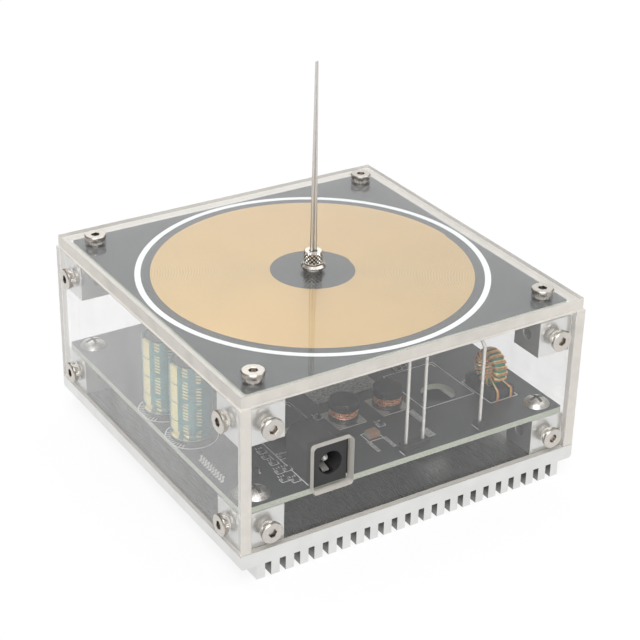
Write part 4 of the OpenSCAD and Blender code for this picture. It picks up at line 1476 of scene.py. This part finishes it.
@dataclass
class DriverBoard:
    """The driver board with its printing, tinned areas and screws. Printed lines are in mm."""

    edge_r: float = 0.08 * MM
    ink: float = 0.03 * MM
    thin: float = 0.2
    framed: tuple[tuple[str, float], ...] = (
        ("chip_resistor_bodies", 0.4), ("ceramic_capacitor_body", 0.7), ("toroid_cradle", 0.6))
    circle_gap: float = 1.15 * MM
    circle_line: float = 0.24 * MM
    circle_sides: int = 64
    hatches: int = 10
    hatch_from: float = 140.0
    hatch_step: float = 9.0
    hatch_reach: tuple[float, float] = (-0.3, 1.2)
    holes: tuple[tuple[float, float], ...] = ((23.0, -10.9), (-21.5, -9.5))
    hole_half: float = 8.0
    front: float = -30.0
    corner_in: float = 0.8
    corner_to: float = 2.6
    side_line: tuple[float, ...] = (-29.5, -30.0, -29.5, -45.4)
    front_lines: tuple[tuple[float, ...], ...] = ((-2.0, -45.9, -2.0, -43.6),
                                                  (21.0, -45.2, 21.0, -42.4))
    drum_reach: float = 0.2
    drum_gap: float = 0.75
    ticks: int = 3
    tick_pitch: float = 0.7
    tick_gap: float = 1.0
    tick_ends: tuple[float, float] = (1.8, 1.5)

    def _print(self) -> None:
        """Prints the white lines of the board."""
        top = box_of("driver_board").high.z
        shape = Shape()
        for stroke in (*self._transistor_lines(), *self._part_lines(), *self._hatches()):
            shape.prism(stroke.outline(), top, top + self.ink)
        for box in solids("capacitor_sleeves"):
            centre = Vector((box.middle.x, box.middle.y, top))
            shape.ring(centre, box.size.x / 2 + self.circle_gap, self.circle_line, self.ink,
                       self.circle_sides)
        shape.piece("board_printing", Finish.WHITE_INK)

    def _hatches(self) -> list[Stroke]:
        """Hatches the part of each capacitor's circle that faces the corner.

        Returns:
            The hatch marks.
        """
        marks = []
        for box in solids("capacitor_sleeves"):
            for k in range(self.hatches):
                way = polar(1.0, math.radians(self.hatch_from + self.hatch_step * k))
                ends = [box.middle.xy / MM + way.xy * (box.size.x / 2 / MM + reach)
                        for reach in self.hatch_reach]
                marks.append(Stroke(*ends[0], *ends[1], self.thin))
        return marks

    def _transistor_lines(self) -> list[Stroke]:
        """Frames the access holes, with a short double corner in each frame.

        Returns:
            The lines.
        """
        lines = []
        for x, back in self.holes:
            left, right = x - self.hole_half, x + self.hole_half
            inner_x, inner_y = right - self.corner_in, back - self.corner_in
            lines += [*frame_lines(left, self.front, right, back),
                      Stroke(inner_x, inner_y, right - self.corner_to, inner_y),
                      Stroke(inner_x, inner_y, inner_x, back - self.corner_to)]
        return [*lines, Stroke(*self.side_line)]

    def _part_lines(self) -> list[Stroke]:
        """Frames the small parts, with marks behind the resistors and before the drums.

        Returns:
            The lines.
        """
        lines = []
        for node, gap in self.framed:
            for box in solids(node):
                low, high = box.low / MM, box.high / MM
                lines += frame_lines(low.x - gap, low.y - gap, high.x + gap, high.y + gap,
                                     self.thin)
        for box in solids("chip_resistor_bodies"):
            low, high = box.low / MM, box.high / MM
            for k in range(self.ticks):
                x = low.x + self.tick_pitch * k
                lines.append(Stroke(x, high.y + self.tick_gap, x,
                                    high.y + self.tick_ends[k % 2], self.thin))
        for box in solids("drum_cores"):
            low, high = box.low / MM, box.high / MM
            y = low.y - self.drum_gap
            lines.append(Stroke(low.x - self.drum_reach, y, high.x + self.drum_reach, y,
                                self.thin))
        return lines + [Stroke(*line, self.thin) for line in self.front_lines]

    def build(self) -> None:
        """Builds and dresses the driver board."""
        softened("driver_board", "driver_board_laminate", Finish.DRIVER_BOARD, self.edge_r)
        self._print()
        dress(Finish.SOLDER, "solder_pads")
        dress(Finish.CROSS_HEAD, "driver_board_screws")


def frame_lines(x0: float, y0: float, x1: float, y1: float, width: float = 0.28) -> list[Stroke]:
    """The four lines of a printed frame."""
    corners = ((x0, y0), (x1, y0), (x1, y1), (x0, y1), (x0, y0))
    return [Stroke(*start, *end, width) for start, end in zip(corners, corners[1:])]


@dataclass
class PowerJack:
    """The jack's housing, centre pin, spring and legs."""

    flange: float = 3.4 * MM
    shoulder_r: float = 3.3 * MM
    shoulder_steps: int = 8

    def _housing(self) -> None:
        """Builds the housing, whose rear part is a barrel behind a square flange."""
        shape = merged("jack_housing")
        mesh = shape.mesh
        box = box_of("jack_housing")
        step = box.low.y + self.flange
        bmesh.ops.bisect_plane(mesh, geom=[*mesh.verts, *mesh.edges, *mesh.faces], dist=WELD,
                               plane_co=(0, step, 0), plane_no=(0, 1, 0))
        edges = [e for e in mesh.edges if all(
            v.co.z > box.high.z - WELD and v.co.y > step - WELD
            and abs(abs(v.co.x - box.middle.x) - box.size.x / 2) < WELD for v in e.verts)
            and abs(e.verts[0].co.y - e.verts[1].co.y) > self.flange]
        bmesh.ops.bevel(mesh, geom=edges, offset=self.shoulder_r, segments=self.shoulder_steps,
                        profile=0.5, affect="EDGES")
        shape.piece("jack_moulding", Finish.BLACK, replaces=("jack_housing",), weld=False,
                    flats=True)

    def build(self) -> None:
        """Builds and dresses the jack."""
        self._housing()
        dress(Finish.TIN, "jack_center_pin", "jack_legs", "jack_spring")


@dataclass
class Capacitors:
    """Two electrolytic capacitors with printed sleeves."""

    groove_z: float = 3.0 * MM
    groove_depth: float = 0.6 * MM
    groove_h: float = 0.8 * MM
    groove_steps: int = 8
    foot_in: float = 0.25 * MM
    foot_h: float = 0.3 * MM
    shoulder_r: float = 0.7 * MM
    shoulder_steps: int = 5
    lip: float = 1.1 * MM
    film: float = 0.12 * MM
    sides: int = 64
    stripe_turn: float = math.radians(175)

    def _profile(self, r: float, h: float, groove: float) -> list[tuple[float, float]]:
        """Follows the sleeve from its foot over the shoulder and under the lip.

        Args:
            r: The sleeve's radius.
            h: Its height.
            groove: The height of the groove's middle.

        Returns:
            Radius and height pairs.
        """
        bends = [math.pi * k / self.groove_steps for k in range(1, self.groove_steps)]
        turns = [math.pi / 2 * k / self.shoulder_steps for k in range(1, self.shoulder_steps + 1)]
        return [(r - self.foot_in, 0.0), (r, self.foot_h), (r, groove - self.groove_h),
                *((r - self.groove_depth * math.sin(a), groove - self.groove_h * math.cos(a))
                  for a in bends),
                (r, groove + self.groove_h), (r, h - self.shoulder_r),
                *((r - self.shoulder_r * (1 - math.cos(a)), h - self.shoulder_r * (1 - math.sin(a)))
                  for a in turns),
                (r - self.lip, h), (r - self.lip, h - self.film),
                (r - self.shoulder_r - self.film, h - self.film)]

    def build(self) -> None:
        """Builds and dresses the capacitors."""
        shape = Shape()
        for box in solids("capacitor_sleeves"):
            groove = self.groove_z - (box.low.z - box_of("driver_board").high.z)
            shape.lathe(self._profile(box.size.x / 2, box.size.z, groove), self.sides, box.foot,
                        self.stripe_turn)
        shape.piece("printed_sleeves", Finish.SLEEVE, replaces=("capacitor_sleeves",))
        dress(Finish.CAN, "capacitor_cans")
        dress(Finish.RUBBER, "capacitor_seals")
        dress(Finish.TIN, "capacitor_leads")


@dataclass
class DrumInductors:
    """Two drum inductors with loosely layered copper wire in their windows."""

    edge_r: float = 0.2 * MM
    wire_r: float = 0.17 * MM
    wire_sides: int = 6
    layers: int = 2
    layer_step: float = 1.6
    turns: int = 5
    steps: int = 48
    wander: float = 0.24 * MM
    phases: tuple[float, float] = (0.9, 3.0)

    def _winding(self, shape: Shape, drum: Box, window: Box, phase: float) -> None:
        """Adds layers of wire that wander a little in the window.

        Args:
            shape: The shape that gets the wire.
            drum: The drum's box.
            window: The box of the winding in the solids.
            phase: The angle at which the wire starts.
        """
        centre = Vector((drum.middle.x, drum.middle.y, 0.0))
        low, high = window.low.z + self.wire_r, window.high.z - self.wire_r
        radius = window.size.x / 2 - self.wire_r
        count = self.turns * self.steps
        for layer in range(self.layers):
            path = []
            for i in range(count + 1):
                t = i / count
                angle = 2 * math.pi * self.turns * t + phase + layer
                wave = self.wander * (math.sin(3 * angle + 5 * phase)
                                      + math.sin(1.7 * angle + layer * 2))
                z = low + (high - low) * (t if layer == 0 else 1 - t) + wave
                r = radius + layer * self.layer_step * self.wire_r + 0.5 * wave
                path.append(centre + polar(r, angle, min(max(z, low), high)))
            shape.tube(path, self.wire_r, self.wire_sides)

    def build(self) -> None:
        """Builds and dresses the drum inductors."""
        softened("drum_cores", "ferrite_drums", Finish.FERRITE, self.edge_r)
        shape = Shape()
        for drum, window, phase in zip(solids("drum_cores"), solids("drum_windings"), self.phases):
            self._winding(shape, drum, window, phase)
        shape.piece("drum_copper_windings", Finish.COPPER, replaces=("drum_windings",), weld=False)
        dress(Finish.TIN, "drum_pads")


@dataclass
class ToroidInductor:
    """A green ring core wound with a pair of wires, in a black cradle."""

    cradle_edge: float = 0.25 * MM
    turns: int = 17
    wire_r: float = 0.21 * MM
    wire_sides: int = 7
    pair_step: float = 1.15
    slack: float = 0.06 * MM
    start: float = math.radians(214)
    share: float = 0.944
    square: float = 3.5
    steps: int = 40
    leg_pitch: float = 4.3 * MM
    leg_pair: float = 1.7
    leg_reach: float = 0.6 * MM
    leg_bend: float = 1.2 * MM
    leg_lean: float = 0.15 * MM
    leg_join: tuple[float, float, float] = (0.4, 0.45, 0.4)

    def _loops(self, core: Box, shift: float) -> list[Vector]:
        """Winds one wire of the pair round the ring.

        Args:
            core: The core's box.
            shift: The angle by which the wire is shifted along the ring.

        Returns:
            The wire's path.
        """
        outer, inner = core.size.z / 2, self._inner_radius(core)
        middle = (outer + inner) / 2
        half = (outer - inner) / 2 + self.wire_r + self.slack
        width = core.size.x / 2 + self.wire_r + self.slack
        path = []
        for i in range(self.turns * self.steps - self.steps // 2 + 1):
            t = i / (self.turns * self.steps)
            ring = self.start - 2 * math.pi * self.share * t + shift
            a = math.pi + 2 * math.pi * self.turns * t
            reach = middle + half * self._squared(math.sin(a))
            path.append(core.middle + reach * Vector((0.0, math.cos(ring), math.sin(ring)))
                        + Vector((width * self._squared(math.cos(a)), 0.0, 0.0)))
        return path

    def _squared(self, value: float) -> float:
        """A sine or cosine with flatter sides."""
        return math.copysign(abs(value) ** (2 / self.square), value)

    @staticmethod
    def _inner_radius(core: Box) -> float:
        """The radius of the core's hole."""
        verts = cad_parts["toroid_core"].data.vertices
        return min((v.co.yz - core.middle.yz).length for v in verts)

    def _leg(self, x: float, end: Vector) -> list[Vector]:
        """Leads a wire down the front of the cradle into the board.

        Args:
            x: Where the leg stands.
            end: The end of the wire's loops.

        Returns:
            The leg's path, upwards.
        """
        cradle = box_of("toroid_cradle")
        y, top = cradle.low.y - self.leg_reach, cradle.high.z
        levels = (box_of("toroid_winding").low.z, box_of("driver_board").high.z,
                  top - self.leg_bend)
        joint = Vector([(1 - m) * a + m * b for m, a, b in zip(self.leg_join, (x, y, top), end)])
        return [*(Vector((x, y, z)) for z in levels), Vector((x, y + self.leg_lean, top)), joint]

    def build(self) -> None:
        """Builds and dresses the toroid."""
        dress(Finish.CORE, "toroid_core")
        softened("toroid_cradle", "toroid_cradle_block", Finish.BLACK, self.cradle_edge)
        core = box_of("toroid_core")
        step = self.pair_step * self.wire_r / (core.size.z / 2)
        for name, finish, way, replaces in (
                ("toroid_wire_amber", Finish.AMBER, -1, ("toroid_winding",)),
                ("toroid_wire_red", Finish.RED, 1, ())):
            loops = self._loops(core, way * step)
            first, last = (self._leg(
                core.middle.x + side * self.leg_pitch / 2 + way / 2 * self.leg_pair * self.wire_r,
                end) for side, end in ((-1, loops[0]), (1, loops[-1])))
            shape = Shape()
            shape.tube(first + loops + last[::-1], self.wire_r, self.wire_sides)
            shape.piece(name, finish, replaces=replaces)


@dataclass
class LinkPins:
    """The pins between the boards and their bases."""

    edge_r: float = 0.15 * MM

    def build(self) -> None:
        """Dresses the pins."""
        dress(Finish.TIN, "link_pins")
        softened("link_pin_bases", "link_pin_base_blocks", Finish.BLACK, self.edge_r)


@dataclass
class SolderJoints:
    """Small cones of solder where leads come through the driver board."""

    reach: float = 0.85 * MM
    height: float = 0.75 * MM
    bore: float = 0.3 * MM
    cone: tuple[tuple[float, float], ...] = ((1.0, 0.0), (0.55, 0.3), (0.45, 1.0))
    tip_r: float = 0.02 * MM
    tip_share: float = 1.15
    sides: int = 16
    bent_width: float = 2 * MM
    bent_in: float = 0.45 * MM

    def _lead_x(self, lead: Box) -> float:
        """Finds where a lead comes through the board.

        Args:
            lead: The lead's box.

        Returns:
            Its middle, or a place near the end of one with a bent top.
        """
        if lead.size.x < self.bent_width:
            return lead.low.x + min(lead.size.x, lead.size.y) / 2
        return lead.high.x - self.bent_in

    def build(self) -> None:
        """Sets a joint on the board's underside at each lead."""
        under = box_of("driver_board").low.z
        leads = [b for node in ("capacitor_leads", "jack_legs", "link_pins") for b in solids(node)]
        shape = Shape()
        shape.lathe([(self.bore, 0.0), *((r * self.reach, h * self.height) for r, h in self.cone),
                     (self.tip_r, self.tip_share * self.height)], self.sides)
        places = [Place(Vector((self._lead_x(b), b.middle.y, under)), -UP) for b in leads]
        copies(shape, places, "solder_joints", Finish.TIN)


@dataclass
class PowerDevices:
    """Transistors under the board, their pads and screws."""

    edge_r: float = 0.2 * MM

    def build(self) -> None:
        """Dresses the transistors."""
        softened("transistor_bodies", "transistor_mouldings", Finish.EPOXY, self.edge_r)
        dress(Finish.TIN, "transistor_tabs", "transistor_leads")
        dress(Finish.INNER_SCREW, "transistor_screws")
        dress(Finish.PAD, "insulating_pads")


@dataclass
class SmallParts:
    """The driver chip, the ceramic capacitor and the chip resistors."""

    chip_edge: float = 0.15 * MM
    ceramic_edge: float = 0.1 * MM

    def build(self) -> None:
        """Dresses the small parts."""
        softened("driver_chip_body", "driver_chip_moulding", Finish.EPOXY, self.chip_edge)
        # The chip's pins take the near-white finish, a painted glint.
        dress(Finish.PIN_GLINT, "driver_chip_pins")
        dress(Finish.TIN, "ceramic_capacitor_ends", "chip_resistor_ends")
        softened("ceramic_capacitor_body", "ceramic_capacitor_block", Finish.CERAMIC,
                 self.ceramic_edge)
        dress(Finish.EPOXY, "chip_resistor_bodies")


@dataclass(frozen=True)
class Lamp:
    """A square area lamp that looks at the object."""

    name: str
    at: tuple[float, float, float]
    size: float
    watts: float
    aim: tuple[float, float, float] = (0, 0, 0.04)

    def build(self) -> None:
        """Hangs the lamp."""
        data = bpy.data.lights.new(self.name, "AREA")
        data.size = self.size
        data.energy = self.watts
        lamp = placed(self.name, data)
        lamp.location = self.at
        way = Vector(self.aim) - Vector(self.at)
        lamp.rotation_euler = way.to_track_quat("-Z", "Y").to_euler()


@dataclass
class Studio:
    """Camera, soft lamps, white surroundings and floor."""

    camera_at: tuple[float, float, float] = (-211.1, -336.3, 245.6)
    yaw: float = math.radians(32.42)
    pitch: float = math.radians(27.93)
    roll: float = math.radians(1.22)
    sensor: float = 36.0
    lens: float = 96.03
    clip: tuple[float, float] = (0.01, 20.0)
    world_strength: float = 0.5
    side_walls: Colour = (0.13, 0.115, 0.10)
    wall_edge: tuple[float, float] = (0.25, 0.6)
    floor_half: float = 4.0
    floor_colour: Colour = (0.93, 0.93, 0.93)
    floor_roughness: float = 0.8
    floor_glow: float = 0.88
    lamps: tuple[Lamp, ...] = (Lamp("key_softbox", (-0.35, -0.55, 0.75), 0.6, 5.2),
                               Lamp("fill_softbox", (0.5, -0.15, 0.72), 0.6, 1.9),
                               Lamp("top_softbox", (0.0, 0.5, 0.85), 0.8, 3.7))

    def _right(self) -> Vector:
        """The direction to the camera's right, level with the floor."""
        return Vector((math.cos(self.yaw), -math.sin(self.yaw), 0.0))

    def _camera(self) -> None:
        """Sets up the camera at the photograph's viewing angle."""
        data = bpy.data.cameras.new("camera")
        data.sensor_width = self.sensor
        data.lens = self.lens
        data.clip_start, data.clip_end = self.clip
        camera = placed("camera", data)
        forward = Vector((math.sin(self.yaw) * math.cos(self.pitch),
                          math.cos(self.yaw) * math.cos(self.pitch), -math.sin(self.pitch)))
        up = self._right().cross(forward)
        turned = math.cos(self.roll) * self._right() + math.sin(self.roll) * up
        upright = math.cos(self.roll) * up - math.sin(self.roll) * self._right()
        matrix = Matrix((turned, upright, -forward)).transposed().to_4x4()
        matrix.translation = Vector(self.camera_at) * MM
        camera.matrix_world = matrix
        bpy.context.scene.camera = camera

    def _walls(self, tree: Tree) -> Signal:
        """Colours the surroundings white, with grey unlit walls at two sides for mirrored rays.

        Args:
            tree: The world's nodes.

        Returns:
            The colour.
        """
        way = tree.add("ShaderNodeTexCoord", out="Generated")
        across = tree.add("ShaderNodeVectorMath", {"operation": "DOT_PRODUCT"},
                          {0: way, 1: self._right()}, out="Value")
        share = tree.rays("Glossy") * abs(across).ramp(*self.wall_edge)
        return tree.mix(share, WHITE, self.side_walls)

    def _world(self) -> None:
        """Sets up white surroundings, dimmer as a lamp than they look."""
        world = bpy.data.worlds.new("world")
        bpy.context.scene.world = world
        world.use_nodes = True
        tree = Tree(world.node_tree)
        strength = tree.add("ShaderNodeMapRange", None, {
            "Value": tree.rays(*SEEN), "To Min": self.world_strength, "To Max": 1.0})
        tree.end("ShaderNodeOutputWorld", tree.add("ShaderNodeBackground", None, {
            "Color": self._walls(tree), "Strength": strength}))

    def _floor(self) -> None:
        """Lays a floor that shows white, keeps a faint shadow and is clear from below."""
        sheet = Sheet("floor_white")
        dull = sheet.surface(self.floor_colour, self.floor_roughness)
        glow = sheet.add("ShaderNodeEmission", None, {"Color": (*WHITE, 1.0), "Strength": 1.0})
        above = sheet.blend(sheet.rays(*SEEN) * self.floor_glow, dull, glow)
        below = sheet.add("ShaderNodeNewGeometry", out="Backfacing")
        clear = sheet.add("ShaderNodeBsdfTransparent")
        half = self.floor_half
        data = bpy.data.meshes.new("floor")
        data.from_pydata([(-half, -half, 0), (half, -half, 0), (half, half, 0), (-half, half, 0)],
                         [], [(0, 1, 2, 3)])
        data.materials.append(sheet.done(sheet.blend(below, above, clear)))
        floor = placed("floor", data)

    def build(self) -> None:
        """Sets up the view."""
        bpy.context.scene.view_settings.view_transform = "Standard"
        self._camera()
        self._world()
        self._floor()
        for lamp in self.lamps:
            lamp.build()


def main() -> None:
    """Builds and dresses every sub-assembly in order."""
    logging.basicConfig(level=logging.INFO, format="%(message)s")
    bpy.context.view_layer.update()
    for assembly in (Studio(), HeatSink(), Case(), CoilBoard(), Terminal(), DriverBoard(),
                     PowerJack(), Capacitors(), DrumInductors(), ToroidInductor(), LinkPins(),
                     SolderJoints(), PowerDevices(), SmallParts()):
        assembly.build()


if __name__ == "__main__":
    main()
